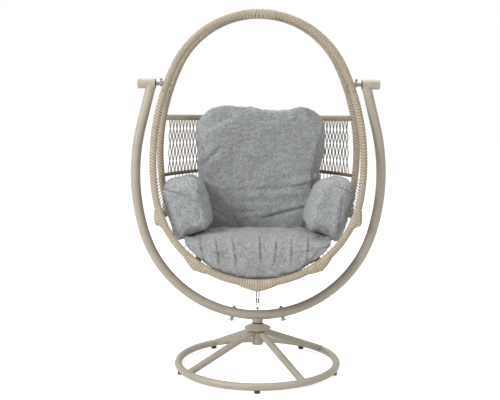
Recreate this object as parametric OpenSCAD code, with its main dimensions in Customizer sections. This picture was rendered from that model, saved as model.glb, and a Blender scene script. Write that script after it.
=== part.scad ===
// Hanging egg chair: a rope-wrapped egg basket on two pins in a swivelling steel horseshoe stand.
// Millimetres. Origin on the floor at the middle of the base ring, +Z up, the sitter faces -Y.

/* [Base] */
// Radius of the base ring's centreline
ring_r = 420; // [380:5:460]
// Outside diameter of the base tubes
base_tube_od = 38; // [32:1:42]
// Wall of every steel tube
tube_wall = 2; // [1.5:0.5:3]
// Number of glide feet under the ring
foot_count = 5; // [4:1:8]
// Height of a glide foot below the ring
foot_h = 12; // [8:1:20]
// Radius of a glide foot
foot_r = 15; // [12:1:18]
// Direction of the front right spoke, from +X
spoke_turn = -57; // [-75:1:-15]
// Radius of the domed hub plate
hub_plate_r = 70; // [60:1:90]
// Height of the hub plate's rim above the floor
hub_plate_z = 214; // [190:1:240]
// Outside radius of the bearing sleeve
sleeve_r = 26; // [24:1:30]
// Height of the lower end of the bearing sleeve
sleeve_z = 127; // [100:1:150]

/* [Stand] */
// Outside diameter of the horseshoe tube
frame_od = 50; // [45:1:56]
// Height of the horseshoe's lowest centreline point
frame_z = 285; // [275:1:320]
// Bend radius of the horseshoe's bottom
frame_bottom_r = 620; // [600:5:640]
// Turn of the bottom bend on each side
frame_bottom_turn = 74; // [72:0.5:76]
// Inward lean of the straight arm ends
arm_lean = 14.5; // [13:0.5:16]
// Angle from the bottom at which an arm starts
splice_turn = 10.4; // [9:0.2:14]
// Length of the swaged end inside each arm
swage_l = 80; // [50:5:120]
// Radius of the swivel post
post_r = 14; // [12:0.5:16]

/* [Pivots] */
// Height of the pins that carry the egg
pivot_z = 1498; // [1490:1:1506]
// Outside diameter of the pin housings, a little over the horseshoe tube
housing_od = 50.6; // [50.4:0.2:56]
// Distance from the middle to a housing's inner end
housing_in = 530; // [526:1:536]
// Length of a pin housing
housing_l = 84; // [78:1:92]
// Distance from a housing's inner end to the axis of its arm
housing_inset = 18.5; // [16:0.5:24]
// Radius of the egg's pins
pin_r = 10; // [8:0.5:12]
// Radial running clearance of pins and post
running_gap = 0.06; // [0.02:0.01:0.09]

/* [Egg] */
// Outside diameter of the rope wrap on the hoops
rope_od = 38; // [36:1:42]
// Outside diameter of the steel tube inside the rope
hoop_core_od = 28; // [25:1:30]
// Backward lean of the front hoop
front_tilt = 14; // [11:0.5:17]
// Height of the front hoop's top centreline above the pins
front_top = 375; // [360:5:390]
// Bend radius of the front hoop's top
front_top_r = 475; // [465:5:485]
// Turn of the front hoop's top bend on each side
front_top_turn = 66; // [65:0.5:67]
// Bend radius of the front hoop's sides
front_side_r = 1180; // [1150:10:1210]
// Turn of the front hoop's side bend
front_side_turn = 33; // [32:0.5:34]
// Forward lean of the rear hoop
rear_tilt = 6; // [4:0.5:8]
// Drop of the rear hoop's top below the front hoop's
rear_drop = 12; // [8:1:16]
// Bend radius of the rear hoop's top
rear_top_r = 462; // [455:1:470]
// Turn of the rear hoop's top bend on each side
rear_top_turn = 64; // [63:0.5:65]
// Bend radius of the rear hoop's sides
rear_side_r = 1120; // [1090:10:1150]
// Turn of the rear hoop's side bend
rear_side_turn = 36; // [35:0.5:37]
// Distance of the hoop splices below the pins
splice_drop = 30; // [26:1:40]

/* [Basket] */
// Drop of the straight top rail below the pins
top_rail_drop = 183; // [160:1:210]
// Outside diameter of the top rail
top_rail_od = 30; // [24:1:32]
// Drop of the mid rail's ends below the pins
mid_rail_drop = 498; // [470:1:530]
// Outside diameter of the mid rail
mid_rail_od = 20; // [18:1:26]
// Bulge of the mid rail behind its ends
mid_rail_bulge = 150; // [120:5:160]
// Upward lean of the mid rail's bow
mid_rail_lean = 10; // [0:1:14]
// Distance of the seat ribs from the middle
seat_rib_x = 316; // [280:2:340]
// Drop of the arm ribs' front ends below the pins
arm_rib_drop = 692; // [670:1:715]
// Outward bow of the arm ribs
arm_rib_bow = 14; // [8:1:20]
// Diameter of the net cord
net_cord = 5; // [4:0.5:6]
// Pairs of crossing cords in the back net
net_pairs = 20; // [12:1:24]
// Rows of crossings in the back net
net_rows = 3; // [2:1:3]

/* [Cushions] */
// Half width of the seat cushion
seat_half_w = 376; // [350:2:380]
// Depth of the seat cushion from front to back
seat_depth = 340; // [310:2:345]
// Drop of the seat cushion's front edge below the pins
seat_top_drop = 782; // [770:2:790]
// Half width of the back cushion
back_half_w = 350; // [320:2:354]
// Drop of the back cushion's ears below the pins
back_top_drop = 114; // [100:2:140]
// Drop of the back cushion's foot below the pins
back_low_drop = 890; // [880:2:900]
// Half thickness of the back cushion
back_half_t = 76; // [60:1:78]
// Depth of an arm cushion from front to back
arm_depth = 272; // [240:2:276]
// Drop of the arm cushions' tops below the pins
arm_top_drop = 490; // [480:2:520]
// Drop of the arm cushions' feet below the pins
arm_low_drop = 745; // [735:1:747]

/* [Tether] */
// Diameter of the strap's cord
strap_cord = 5.2; // [4:0.2:5.6]
// Half width of the strap loop
strap_half_w = 8.5; // [7.5:0.5:10]
// Diameter of the snap hook's wire
hook_wire = 4.6; // [4:0.2:5]
// Height of the snap hook between wire centres
hook_h = 50; // [44:1:56]
// Slack between the hook and the strap at rest
tether_slack = 10.5; // [8:0.5:14]
// Turn of the hook and of the strap out of the stand's plane
link_twist = 35; // [30:1:45]

/* [Hidden] */
$fn = 64;
weld = 0.05;
rope_step = 0.35;
foot_pitch = 360 / foot_count;
base_r = base_tube_od / 2;
ring_z = foot_h + base_r;
foot_stem_r = 5;
foot_stem_h = 8;
spoke_count = 4;
spoke_top_z = hub_plate_z - 10;
hub_rim_h = 5;
hub_wall = 4;
hub_collar_r = sleeve_r + 4;
hub_collar_z = hub_plate_z + 26;
sleeve_in_r = sleeve_r - 5;
sleeve_lip = 2.4;
washer_h = 8;
washer_r = sleeve_r + 2;
boss_z = hub_collar_z + washer_h + 0.1;
boss_flare = 10;
post_low_z = sleeve_z + 14;
post_top_z = frame_z - frame_od / 2 - 2;
retainer_h = 4;
retainer_nut_r = 11;
retainer_nut_h = 8;
bush_l = 26;
frame_r = frame_od / 2;
frame_in_r = frame_r - tube_wall;
swage_r = frame_in_r - 0.4;
swage_turn = swage_l / frame_bottom_r * 180 / PI;
neck_turn = 0.6;
bolt_turn = splice_turn + 1.6;
clamp_bolt_r = 4;
frame_centre_z = frame_z + frame_bottom_r;
arm_turn = 90 + arm_lean;

// The side bend and the straight end that lead from the bottom bend to the pin housing.
bottom_end = [frame_bottom_r * sin(frame_bottom_turn), frame_centre_z - frame_bottom_r * cos(frame_bottom_turn)];
arm_way = [housing_in + housing_inset, pivot_z] - bottom_end;
side_way = [sin(arm_turn) - sin(frame_bottom_turn), cos(frame_bottom_turn) - cos(arm_turn)];
lean_way = [-sin(arm_lean), cos(arm_lean)];
function turned(p, q) = p[0] * q[1] - p[1] * q[0];
frame_side_r = turned(arm_way, lean_way) / turned(side_way, lean_way);
arm_straight = turned(side_way, arm_way) / turned(side_way, lean_way);
side_centre = bottom_end - frame_side_r * [sin(frame_bottom_turn), -cos(frame_bottom_turn)];
arm_end = side_centre + frame_side_r * [sin(arm_turn), -cos(arm_turn)];
housing_r = housing_od / 2;
bush_r = housing_r - 3;
bush_flange = 3;
cap_h = 3;
pin_end = housing_in + housing_l - 12;
collar_r = pin_r + 4;
collar_l = 15;
screw_r = 3;
rope_r = rope_od / 2;
core_r = hoop_core_od / 2;
core_in_r = core_r - tube_wall;
saddle = rope_r + 3;
washer_gap = 0.15;
spigot_l = 56;
spigot_rise = splice_drop - pin_r - 6;
splice_bolt_r = 3;
splice_head_r = 6;
net_r = net_cord / 2;
hook_r = hook_wire / 2;
strap_r = strap_cord / 2;
eye_r = 8;
eye_wire_r = 3;
eye_z = frame_z + frame_r + eye_r;

// A hoop is [drop of its top, top radius, top turn, side radius, side turn]; angles run from its top.
front_hoop_arcs = [0, front_top_r, front_top_turn, front_side_r, front_side_turn];
rear_hoop_arcs = [-rear_drop, rear_top_r, rear_top_turn, rear_side_r, rear_side_turn];
function top_centre(h) = [0, h[0] - h[1]];
function side_centre_of(h) = top_centre(h) + (h[1] - h[3]) * [sin(h[2]), cos(h[2])];
function low_turn(h) = h[2] + h[4];
function side_end(h) = side_centre_of(h) + h[3] * [sin(low_turn(h)), cos(low_turn(h))];
function low_r(h) = side_end(h)[0] / sin(low_turn(h));
function low_centre(h) = [0, side_end(h)[1] - low_r(h) * cos(low_turn(h))];
function low_point(h) = low_centre(h)[1] - low_r(h);
// Turn from the top at which a hoop's side passes a height.
function side_turn_at(h, v) = acos((v - side_centre_of(h)[1]) / h[3]);
function side_x_at(h, v) = side_centre_of(h)[0] + h[3] * sin(side_turn_at(h, v));
// A point outside the hoop's low bend, by its turn and its distance from the hoop's centreline.
function low_at(h, turn, out) = low_centre(h) + (low_r(h) + out) * [sin(turn), cos(turn)];

// The hoop planes: v runs up each hoop from its top point.
apex_y = front_top * sin(front_tilt);
apex_z = pivot_z + front_top * cos(front_tilt);
rear_y = apex_y + rope_od + 0.4;
function in_front(p) = [p[0], apex_y + p[1] * sin(front_tilt), apex_z + p[1] * cos(front_tilt)];
function in_rear(p) = [p[0], rear_y - p[1] * sin(rear_tilt), apex_z + p[1] * cos(rear_tilt)];
function rear_v(z) = (z - apex_z) / cos(rear_tilt);
function rear_plane_y(z) = rear_y - rear_v(z) * sin(rear_tilt);
front_splice_turn = side_turn_at(front_hoop_arcs, -front_top - splice_drop);
rear_splice_turn = side_turn_at(rear_hoop_arcs, rear_v(pivot_z - splice_drop));
pin_x = side_x_at(front_hoop_arcs, -front_top);

// Rib ends: outside the front hoop and outside the rear hoop.
arm_rib_z = pivot_z - arm_rib_drop;
function turn_at_x(h, x) = 180 - asin(x / (low_r(h) + saddle));
function turn_at_v(h, v) = acos((v - low_centre(h)[1]) / (low_r(h) + saddle));
arm_v = (arm_rib_z - apex_z) / cos(front_tilt);
seat_front = in_front(low_at(front_hoop_arcs, turn_at_x(front_hoop_arcs, seat_rib_x), saddle));
seat_back = in_rear(low_at(rear_hoop_arcs, turn_at_x(rear_hoop_arcs, seat_rib_x), saddle));
mid_front = in_front(low_at(front_hoop_arcs, 180, saddle));
mid_back = in_rear(low_at(rear_hoop_arcs, 180, saddle));
arm_front = in_front(low_at(front_hoop_arcs, turn_at_v(front_hoop_arcs, arm_v), saddle));
arm_back = in_rear(low_at(rear_hoop_arcs, turn_at_v(rear_hoop_arcs, rear_v(arm_rib_z - 16)), saddle));

// The centre rib over the tether: its height at y = 0, and the strap's anchor below it.
mid_chord_part = -mid_front[1] / (mid_back[1] - mid_front[1]);
mid_rib_z = mid_front[2] + mid_chord_part * (mid_back[2] - mid_front[2]);
anchor_wire_r = 2.5;
anchor_z = mid_rib_z - rope_r - eye_r + anchor_wire_r + 1;
hook_top_z = eye_z + hook_h;
strap_low_z = hook_top_z - hook_r - tether_slack - strap_r;
strap_h = anchor_z - strap_low_z;

// The rails.
top_rail_z = pivot_z - top_rail_drop;
mid_rail_z = pivot_z - mid_rail_drop;
top_rail_y = rear_plane_y(top_rail_z);
mid_rail_y = rear_plane_y(mid_rail_z);
mid_rail_half = side_x_at(rear_hoop_arcs, rear_v(mid_rail_z));
mid_rail_r = (mid_rail_half * mid_rail_half + mid_rail_bulge * mid_rail_bulge) / (2 * mid_rail_bulge);
mid_rail_turn = asin(mid_rail_half / mid_rail_r);

// ---------------------------------------------------------------- shared shapes
// A bent tube in the XZ plane: centre c, bend radius r_bend, turns measured from +Z towards +X.
module bend(c, r_bend, r_out, r_in, from, to) {
    translate([c[0], 0, c[1]]) rotate([90, 0, 0]) rotate([0, 0, 90 - to])
        rotate_extrude(angle = to - from, $fn = 128) translate([r_bend, 0]) difference() {
            circle(r = r_out);
            if (r_in > 0) circle(r = r_in);
        }
}

// A bend whose ends reach a little way into its neighbours' walls, like a butt weld.
module welded_bend(c, r_bend, r_out, r_in, from, to, step = weld) {
    reach = sqrt(step / 2 / r_bend) * 180 / PI;
    bend(c, r_bend, r_out - step, r_in > 0 ? r_in + step : 0, from - reach, to + reach);
}

// The part of a hoop above its splices: the top bend and the start of both side bends.
module hoop_crown(h, r_out, r_in, splice, step = weld) {
    welded_bend(top_centre(h), h[1], r_out, r_in, -h[2], h[2], step);
    for (side = [0, 1]) mirror([side, 0, 0])
        bend(side_centre_of(h), h[3], r_out, r_in, h[2], splice);
}

// The part of a hoop below its splices: both sides and the low bend.
module hoop_basket(h, r_out, r_in, splice, step = weld) {
    for (side = [0, 1]) mirror([side, 0, 0])
        bend(side_centre_of(h), h[3], r_out, r_in, splice, low_turn(h));
    welded_bend(low_centre(h), low_r(h), r_out, r_in, low_turn(h), 360 - low_turn(h), step);
}

module at_front_hoop() {
    translate([0, apex_y, apex_z]) rotate([-front_tilt, 0, 0]) children();
}

module at_rear_hoop() {
    translate([0, rear_y, apex_z]) rotate([rear_tilt, 0, 0]) children();
}

// Places its children at a hoop's side bend, with +Z along the tube, downwards.
module at_turn(h, turn) {
    c = side_centre_of(h);
    translate([c[0] + h[3] * sin(turn), 0, c[1] + h[3] * cos(turn)]) rotate([0, 90 + turn, 0])
        children();
}

// A rounded rod end along +Z that starts a little inside the rod.
module blunt_end(r) {
    rotate_extrude() polygon([[0, -3], [r - 6 * weld, -3], [r - 6 * weld, 4], [r * 0.9, 10],
        [r * 0.72, 14], [r * 0.4, 17], [0, 18]]);
}

// A straight rib from p to q with round ends.
module straight_rib(p, q, r) {
    d = q - p;
    l = norm(d);
    translate(p) rotate([0, acos(d[2] / l), atan2(d[1], d[0])]) {
        cylinder(r = r, h = l);
        translate([0, 0, l]) blunt_end(r);
        mirror([0, 0, 1]) blunt_end(r);
    }
}

// A rib from p to q, bowed by sag towards its own -Z after a roll about its chord, with round ends.
module bowed_rib(p, q, sag, roll, r) {
    d = q - p;
    chord = norm(d);
    r_bend = (chord * chord / 4 + sag * sag) / (2 * sag);
    half = asin(chord / 2 / r_bend);
    translate(p) rotate([0, -asin(d[2] / chord), atan2(d[1], d[0])]) rotate([roll, 0, 0])
        translate([chord / 2, 0, r_bend * cos(half)]) {
            bend([0, 0], r_bend, r, 0, 180 - half, 180 + half);
            for (side = [-1, 1]) rotate([0, side * half, 0]) translate([0, 0, -r_bend])
                rotate([0, side * -90, 0]) blunt_end(r);
        }
}

// Cuts the rope of both hoops' low bends out of its children.
module seated_on_hoops() {
    difference() {
        children();
        at_front_hoop() bend(low_centre(front_hoop_arcs), low_r(front_hoop_arcs), rope_r, 0, 0, 360);
        at_rear_hoop() bend(low_centre(rear_hoop_arcs), low_r(rear_hoop_arcs), rope_r, 0, 0, 360);
    }
}

// Cuts the rope of the rear hoop's sides out of its children.
module between_rear_sides() {
    difference() {
        children();
        for (side = [0, 1]) mirror([side, 0, 0]) at_rear_hoop()
            bend(side_centre_of(rear_hoop_arcs), rear_side_r, rope_r, 0, rear_top_turn,
                low_turn(rear_hoop_arcs));
    }
}

// A straight tube or rod from p to q.
module rod(p, q, r, r_in = 0) {
    d = q - p;
    l = norm(d);
    translate(p) rotate([0, acos(d[2] / l), atan2(d[1], d[0])]) difference() {
        cylinder(r = r, h = l);
        if (r_in > 0) translate([0, 0, -1]) cylinder(r = r_in, h = l + 2);
    }
}

// A torus about +X.
module eye(r_eye, r_wire) {
    rotate([0, 90, 0]) rotate_extrude() translate([r_eye, 0]) circle(r = r_wire);
}

// ---------------------------------------------------------------- base
module steel() {
    color([0.64, 0.60, 0.54]) children();
}

module black() {
    color([0.08, 0.08, 0.08]) children();
}

module zinc() {
    color([0.72, 0.71, 0.68]) children();
}

module rope() {
    color([0.74, 0.67, 0.56]) children();
}

module base_ring() {
    steel() difference() {
        translate([0, 0, ring_z]) rotate_extrude($fn = 128) translate([ring_r, 0]) difference() {
            circle(r = base_r);
            circle(r = base_r - tube_wall);
        }
        at_feet() cylinder(r = foot_stem_r, h = foot_h + foot_stem_h);
    }
}

module at_feet() {
    for (i = [0 : foot_count - 1]) rotate([0, 0, 270 + i * foot_pitch]) translate([ring_r, 0, 0])
        children();
}

module glide_feet() {
    black() difference() {
        at_feet() {
            cylinder(r1 = foot_r - 2, r2 = foot_r, h = 2);
            translate([0, 0, 2]) cylinder(r = foot_r, h = foot_h + 2);
            cylinder(r = foot_stem_r - 0.2, h = foot_h + foot_stem_h);
        }
        translate([0, 0, ring_z]) rotate_extrude($fn = 128) translate([ring_r, 0]) difference() {
            circle(r = base_r);
            circle(r = foot_stem_r - 2);
        }
    }
}

module spoke(i) {
    turn = spoke_turn + i * 360 / spoke_count;
    foot_end = [ring_r * cos(turn), ring_r * sin(turn), ring_z + 4];
    hub_end = [10 * cos(turn), 10 * sin(turn), spoke_top_z];
    steel() difference() {
        rod(foot_end, hub_end, base_r - 1, base_r - 1 - tube_wall);
        translate([0, 0, ring_z]) rotate_extrude($fn = 128) translate([ring_r, 0])
            circle(r = base_r);
        cylinder(r = sleeve_r, h = hub_plate_z * 2);
    }
}

module spoke_front_right() {
    spoke(0);
}

module spoke_rear_right() {
    spoke(1);
}

module spoke_rear_left() {
    spoke(2);
}

module spoke_front_left() {
    spoke(3);
}

module hub_plate() {
    steel() rotate_extrude() polygon([
        [hub_plate_r, hub_plate_z], [hub_plate_r, hub_plate_z + hub_rim_h],
        [hub_plate_r * 0.82, hub_plate_z + 11], [hub_plate_r * 0.62, hub_plate_z + 18],
        [hub_collar_r, hub_plate_z + 22], [hub_collar_r, hub_collar_z], [sleeve_r, hub_collar_z],
        [sleeve_r, hub_plate_z + 22 - hub_wall], [hub_plate_r * 0.6, hub_plate_z + 18 - hub_wall],
        [hub_plate_r * 0.79, hub_plate_z + 11 - hub_wall],
        [hub_plate_r - hub_wall, hub_plate_z]]);
}

module bearing_sleeve() {
    steel() difference() {
        union() {
            cylinder(r = sleeve_r, h = hub_collar_z);
            cylinder(r = sleeve_r + sleeve_lip, h = sleeve_z + 12);
            translate([0, 0, sleeve_z + 12])
                cylinder(r1 = sleeve_r + sleeve_lip, r2 = sleeve_r, h = 10);
        }
        translate([0, 0, -1]) cylinder(r = sleeve_in_r, h = hub_collar_z + 2);
        translate([0, 0, -1]) cylinder(r = sleeve_r * 2, h = sleeve_z + 1);
    }
}

module swivel_bushes() {
    color([0.85, 0.84, 0.8])
        for (z = [post_low_z, hub_collar_z - bush_l]) translate([0, 0, z]) difference() {
            cylinder(r = sleeve_in_r, h = bush_l);
            translate([0, 0, -1]) cylinder(r = post_r + running_gap, h = bush_l + 2);
        }
}

module thrust_washer() {
    black() translate([0, 0, hub_collar_z]) difference() {
        cylinder(r = washer_r, h = washer_h);
        translate([0, 0, -1]) cylinder(r = post_r + 0.3, h = washer_h + 2);
    }
}

// ---------------------------------------------------------------- stand
module swivel_post() {
    zinc() translate([0, 0, post_low_z - retainer_h - retainer_nut_h])
        cylinder(r = post_r * 0.5, h = retainer_h + retainer_nut_h);
    zinc() translate([0, 0, post_low_z]) cylinder(r = post_r, h = post_top_z - post_low_z);
}

module post_retainer() {
    zinc() difference() {
        union() {
            translate([0, 0, post_low_z - retainer_h])
                cylinder(r = sleeve_in_r - 1.5, h = retainer_h - 0.1);
            translate([0, 0, post_low_z - retainer_h - retainer_nut_h])
                cylinder(r = retainer_nut_r, h = retainer_nut_h, $fn = 6);
        }
        cylinder(r = post_r * 0.5, h = frame_z);
    }
}

module saddle_boss() {
    steel() difference() {
        union() {
            translate([0, 0, boss_z]) cylinder(r = washer_r, h = 4);
            translate([0, 0, boss_z + 4])
                cylinder(r1 = washer_r, r2 = washer_r + boss_flare, h = frame_z - boss_z - 4);
        }
        bend([0, frame_centre_z], frame_bottom_r, frame_r, 0, 165, 195);
        translate([0, 0, boss_z - 1]) cylinder(r = post_r, h = post_top_z - boss_z + 1);
        translate([0, 0, frame_z - frame_r / 2]) cylinder(r = frame_od, h = frame_od);
    }
}

// A place along the horseshoe's bottom bend, with +Z pointing to the bend's centre.
module at_frame(turn) {
    translate([0, 0, frame_centre_z]) rotate([0, -turn, 0]) translate([0, 0, -frame_bottom_r])
        children();
}

module clamp_holes() {
    for (side = [-1, 1]) at_frame(side * bolt_turn)
        cylinder(r = clamp_bolt_r + 0.2, h = frame_od * 2, center = true);
}

module centre_section() {
    steel() difference() {
        union() {
            bend([0, frame_centre_z], frame_bottom_r, frame_r, frame_in_r,
                180 - splice_turn, 180 + splice_turn);
            for (side = [0, 1]) mirror([side, 0, 0]) {
                bend([0, frame_centre_z], frame_bottom_r, swage_r, swage_r - tube_wall,
                    180 - splice_turn - swage_turn, 180 - splice_turn + neck_turn);
                bend([0, frame_centre_z], frame_bottom_r, frame_in_r + 0.6, swage_r - tube_wall,
                    180 - splice_turn, 180 - splice_turn + neck_turn);
            }
        }
        clamp_holes();
    }
}

module arm() {
    difference() {
        union() {
            bend([0, frame_centre_z], frame_bottom_r, frame_r, frame_in_r,
                180 - frame_bottom_turn, 180 - splice_turn);
            welded_bend(side_centre, frame_side_r, frame_r, frame_in_r, 180 - arm_turn,
                180 - frame_bottom_turn);
            translate([arm_end[0], 0, arm_end[1]]) rotate([0, -arm_lean, 0]) difference() {
                cylinder(r = frame_r, h = arm_straight);
                translate([0, 0, -1]) cylinder(r = frame_in_r, h = arm_straight + 2);
            }
        }
        translate([housing_in - 50, 0, pivot_z]) rotate([0, 90, 0])
            cylinder(r = housing_r, h = housing_l + 100);
        clamp_holes();
    }
}

module right_arm() {
    steel() arm();
}

module left_arm() {
    steel() mirror([1, 0, 0]) arm();
}

module pin_housing() {
    translate([housing_in, 0, pivot_z]) rotate([0, 90, 0]) difference() {
        cylinder(r = housing_r, h = housing_l);
        translate([0, 0, -1]) cylinder(r = bush_r, h = housing_l + 2);
    }
}

module right_pin_housing() {
    steel() pin_housing();
}

module left_pin_housing() {
    steel() mirror([1, 0, 0]) pin_housing();
}

module end_caps() {
    steel() for (side = [0, 1]) mirror([side, 0, 0])
        translate([housing_in + housing_l, 0, pivot_z]) rotate([0, 90, 0]) {
            translate([0, 0, -7]) cylinder(r = bush_r, h = 7);
            cylinder(r = housing_r, h = cap_h);
            translate([0, 0, cap_h]) cylinder(r1 = housing_r, r2 = housing_r - 5, h = cap_h);
        }
}

module pin_bushes() {
    black() for (side = [0, 1]) mirror([side, 0, 0]) {
        translate([housing_in - bush_flange, 0, pivot_z]) rotate([0, 90, 0]) difference() {
            union() {
                cylinder(r = housing_r - 1, h = bush_flange);
                cylinder(r = bush_r, h = bush_l);
            }
            translate([0, 0, -1]) cylinder(r = pin_r + running_gap, h = bush_l + 2);
        }
        translate([pin_end - bush_l, 0, pivot_z]) rotate([0, 90, 0]) difference() {
            cylinder(r = bush_r, h = bush_l);
            translate([0, 0, -1]) cylinder(r = pin_r + running_gap, h = bush_l + 2);
        }
    }
}

module clamp_bolts() {
    zinc() for (side = [-1, 1]) at_frame(side * bolt_turn) {
        translate([0, 0, -frame_r - 24]) cylinder(r = clamp_bolt_r, h = frame_od + 26);
        translate([0, 0, frame_r + 2]) cylinder(r = 8, h = 6, $fn = 6);
        translate([0, 0, frame_r + 8]) cylinder(r1 = 7, r2 = 3, h = 4);
    }
}

module clamp_washers() {
    zinc() for (side = [-1, 1], end = [0, 1]) at_frame(side * bolt_turn) mirror([0, 0, end])
        difference() {
            translate([0, 0, frame_r - 4]) cylinder(r = 12, h = 6);
            rotate([0, 90, 0]) cylinder(r = frame_r + washer_gap, h = frame_od, center = true);
            cylinder(r = clamp_bolt_r, h = frame_od);
        }
}

module wing_nuts() {
    zinc() for (side = [-1, 1]) at_frame(side * bolt_turn) translate([0, 0, -frame_r - 2])
        mirror([0, 0, 1]) difference() {
            union() {
                cylinder(r1 = 8, r2 = 6, h = 9);
                for (wing = [-1, 1]) rotate([0, wing * 35, 0]) translate([-3, -1.5, 5])
                    cube([6, 3, 13]);
                for (wing = [-1, 1]) rotate([0, wing * 35, 0]) translate([0, 0, 18]) rotate([90, 0, 0])
                    cylinder(r = 4.5, h = 3, center = true);
            }
            translate([0, 0, -1]) cylinder(r = clamp_bolt_r, h = 30);
        }
}

module tether_eye() {
    zinc() difference() {
        translate([0, 0, eye_z]) eye(eye_r, eye_wire_r);
        bend([0, frame_centre_z], frame_bottom_r, frame_r, 0, 175, 185);
    }
}

// ---------------------------------------------------------------- egg: pins and hoops
module pin_bore() {
    translate([0, 0, pivot_z]) rotate([0, 90, 0])
        cylinder(r = pin_r, h = frame_centre_z * 2, center = true);
}

module pin() {
    x_in = pin_x - rope_r - 8;
    translate([x_in, 0, pivot_z]) rotate([0, 90, 0]) cylinder(r = pin_r, h = pin_end - x_in);
    difference() {
        union() {
            translate([x_in, 0, pivot_z]) rotate([0, 90, 0]) cylinder(r = collar_r, h = 20);
            translate([pin_x, 0, pivot_z]) rotate([0, 90, 0])
                cylinder(r = collar_r, h = rope_r + collar_l);
        }
        at_front_hoop() hoop_crown(front_hoop_arcs, rope_r, 0, front_splice_turn);
        pin_screw_bore();
    }
}

module pin_screw_bore() {
    translate([pin_x + rope_r + collar_l / 2 + 2, 0, pivot_z + pin_r])
        cylinder(r = screw_r, h = collar_r * 2);
}

module right_pin() {
    zinc() pin();
}

module left_pin() {
    zinc() mirror([1, 0, 0]) pin();
}

module pin_locking_screws() {
    zinc() for (side = [0, 1]) mirror([side, 0, 0])
        translate([pin_x + rope_r + collar_l / 2 + 2, 0, pivot_z + pin_r]) {
            cylinder(r = screw_r, h = collar_r - pin_r + 4);
            translate([0, 0, collar_r - pin_r + 3]) cylinder(r = 7, h = 7, $fn = 6);
            translate([0, 0, collar_r - pin_r + 10]) cylinder(r1 = 5, r2 = 3, h = 5);
        }
}

// The splice bolts stand square to each hoop's plane, just below its splice.
module at_splices(front) {
    h = front ? front_hoop_arcs : rear_hoop_arcs;
    turn = front ? front_splice_turn : rear_splice_turn;
    for (side = [0, 1]) mirror([side, 0, 0]) at_turn(h, turn) children();
}

module splice_bore(front) {
    at_splices(front) translate([0, 0, 14]) rotate([90, 0, 0]) {
        cylinder(r = splice_bolt_r, h = rope_od * 2, center = true);
        translate([0, 0, rope_r - 4]) cylinder(r = splice_head_r, h = rope_od);
        translate([0, 0, -rope_r + 4 - rope_od]) cylinder(r = splice_head_r, h = rope_od);
    }
}

module front_crown_tube() {
    steel() difference() {
        at_front_hoop() hoop_crown(front_hoop_arcs, core_r, core_in_r, front_splice_turn);
        pin_bore();
    }
}

module front_crown_rope() {
    rope() difference() {
        at_front_hoop() hoop_crown(front_hoop_arcs, rope_r, core_r, front_splice_turn, rope_step);
        pin_bore();
    }
}

module rear_crown_tube() {
    steel() at_rear_hoop() hoop_crown(rear_hoop_arcs, core_r, core_in_r, rear_splice_turn);
}

module rear_crown_rope() {
    rope() at_rear_hoop() hoop_crown(rear_hoop_arcs, rope_r, core_r, rear_splice_turn, rope_step);
}

module front_rim_tube() {
    steel() at_front_hoop() difference() {
        hoop_basket(front_hoop_arcs, core_r, core_in_r, front_splice_turn);
        splice_bore(true);
    }
}

module front_rim_rope() {
    rope() at_front_hoop() difference() {
        hoop_basket(front_hoop_arcs, rope_r, core_r, front_splice_turn, rope_step);
        splice_bore(true);
    }
}

module rear_frame_tube() {
    steel() at_rear_hoop() difference() {
        hoop_basket(rear_hoop_arcs, core_r, core_in_r, rear_splice_turn);
        splice_bore(false);
    }
}

module rear_frame_rope() {
    rope() at_rear_hoop() difference() {
        hoop_basket(rear_hoop_arcs, rope_r, core_r, rear_splice_turn, rope_step);
        splice_bore(false);
    }
}

// The rope that binds the two hoops together where they meet at the top.
module crown_binding() {
    binding_r = rope_r + 3;
    rope() difference() {
        at_front_hoop() bend(top_centre(front_hoop_arcs), front_top_r, binding_r, rope_r, -9, 9);
        at_rear_hoop() bend(top_centre(rear_hoop_arcs), rear_top_r, rope_r, 0, -20, 20);
    }
    rope() difference() {
        at_rear_hoop() bend(top_centre(rear_hoop_arcs), rear_top_r, binding_r, rope_r, -9.2, 9.2);
        at_front_hoop() bend(top_centre(front_hoop_arcs), front_top_r, rope_r, 0, -20, 20);
    }
}

module splice_spigots() {
    zinc() difference() {
        for (front = [true, false]) spigots_of(front);
        at_front_hoop() splice_bore(true);
        at_rear_hoop() splice_bore(false);
    }
}

// A spigot stops below the pin and reaches down past its splice bolt.
module spigots_of(front) {
    if (front) at_front_hoop() at_splices(true) spigot();
    else at_rear_hoop() at_splices(false) spigot();
}

module spigot() {
    translate([0, 0, -spigot_rise]) cylinder(r = core_in_r - 0.6, h = spigot_l);
}

module splice_bolt() {
    translate([0, 0, 14]) rotate([90, 0, 0]) {
        cylinder(r = splice_bolt_r - 0.1, h = 2 * rope_r - 7, center = true);
        translate([0, 0, rope_r - 3.9]) cylinder(r1 = splice_head_r - 0.2, r2 = 3, h = 4.5);
        translate([0, 0, -rope_r - 0.6]) cylinder(r1 = 3, r2 = splice_head_r - 0.2, h = 4.5);
    }
}

module splice_bolts() {
    black() {
        at_front_hoop() at_splices(true) splice_bolt();
        at_rear_hoop() at_splices(false) splice_bolt();
    }
}

// ---------------------------------------------------------------- egg: rails and ribs
module top_rail() {
    rope() between_rear_sides() translate([0, top_rail_y, top_rail_z]) rotate([0, 90, 0])
        cylinder(r = top_rail_od / 2, h = 2 * side_x_at(rear_hoop_arcs, rear_v(top_rail_z)),
            center = true);
}

module mid_rail() {
    rope() between_rear_sides() translate([0, mid_rail_y, mid_rail_z]) rotate([mid_rail_lean, 0, 0])
        translate([0, mid_rail_bulge - mid_rail_r, 0]) rotate([0, 0, 90 - mid_rail_turn])
            rotate_extrude(angle = 2 * mid_rail_turn, $fn = 128) translate([mid_rail_r, 0])
                circle(r = mid_rail_od / 2);
}

module centre_rib() {
    rope() seated_on_hoops() straight_rib(mid_front, mid_back, rope_r);
}

module right_seat_rib() {
    rope() seated_on_hoops() straight_rib(seat_front, seat_back, rope_r);
}

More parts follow.
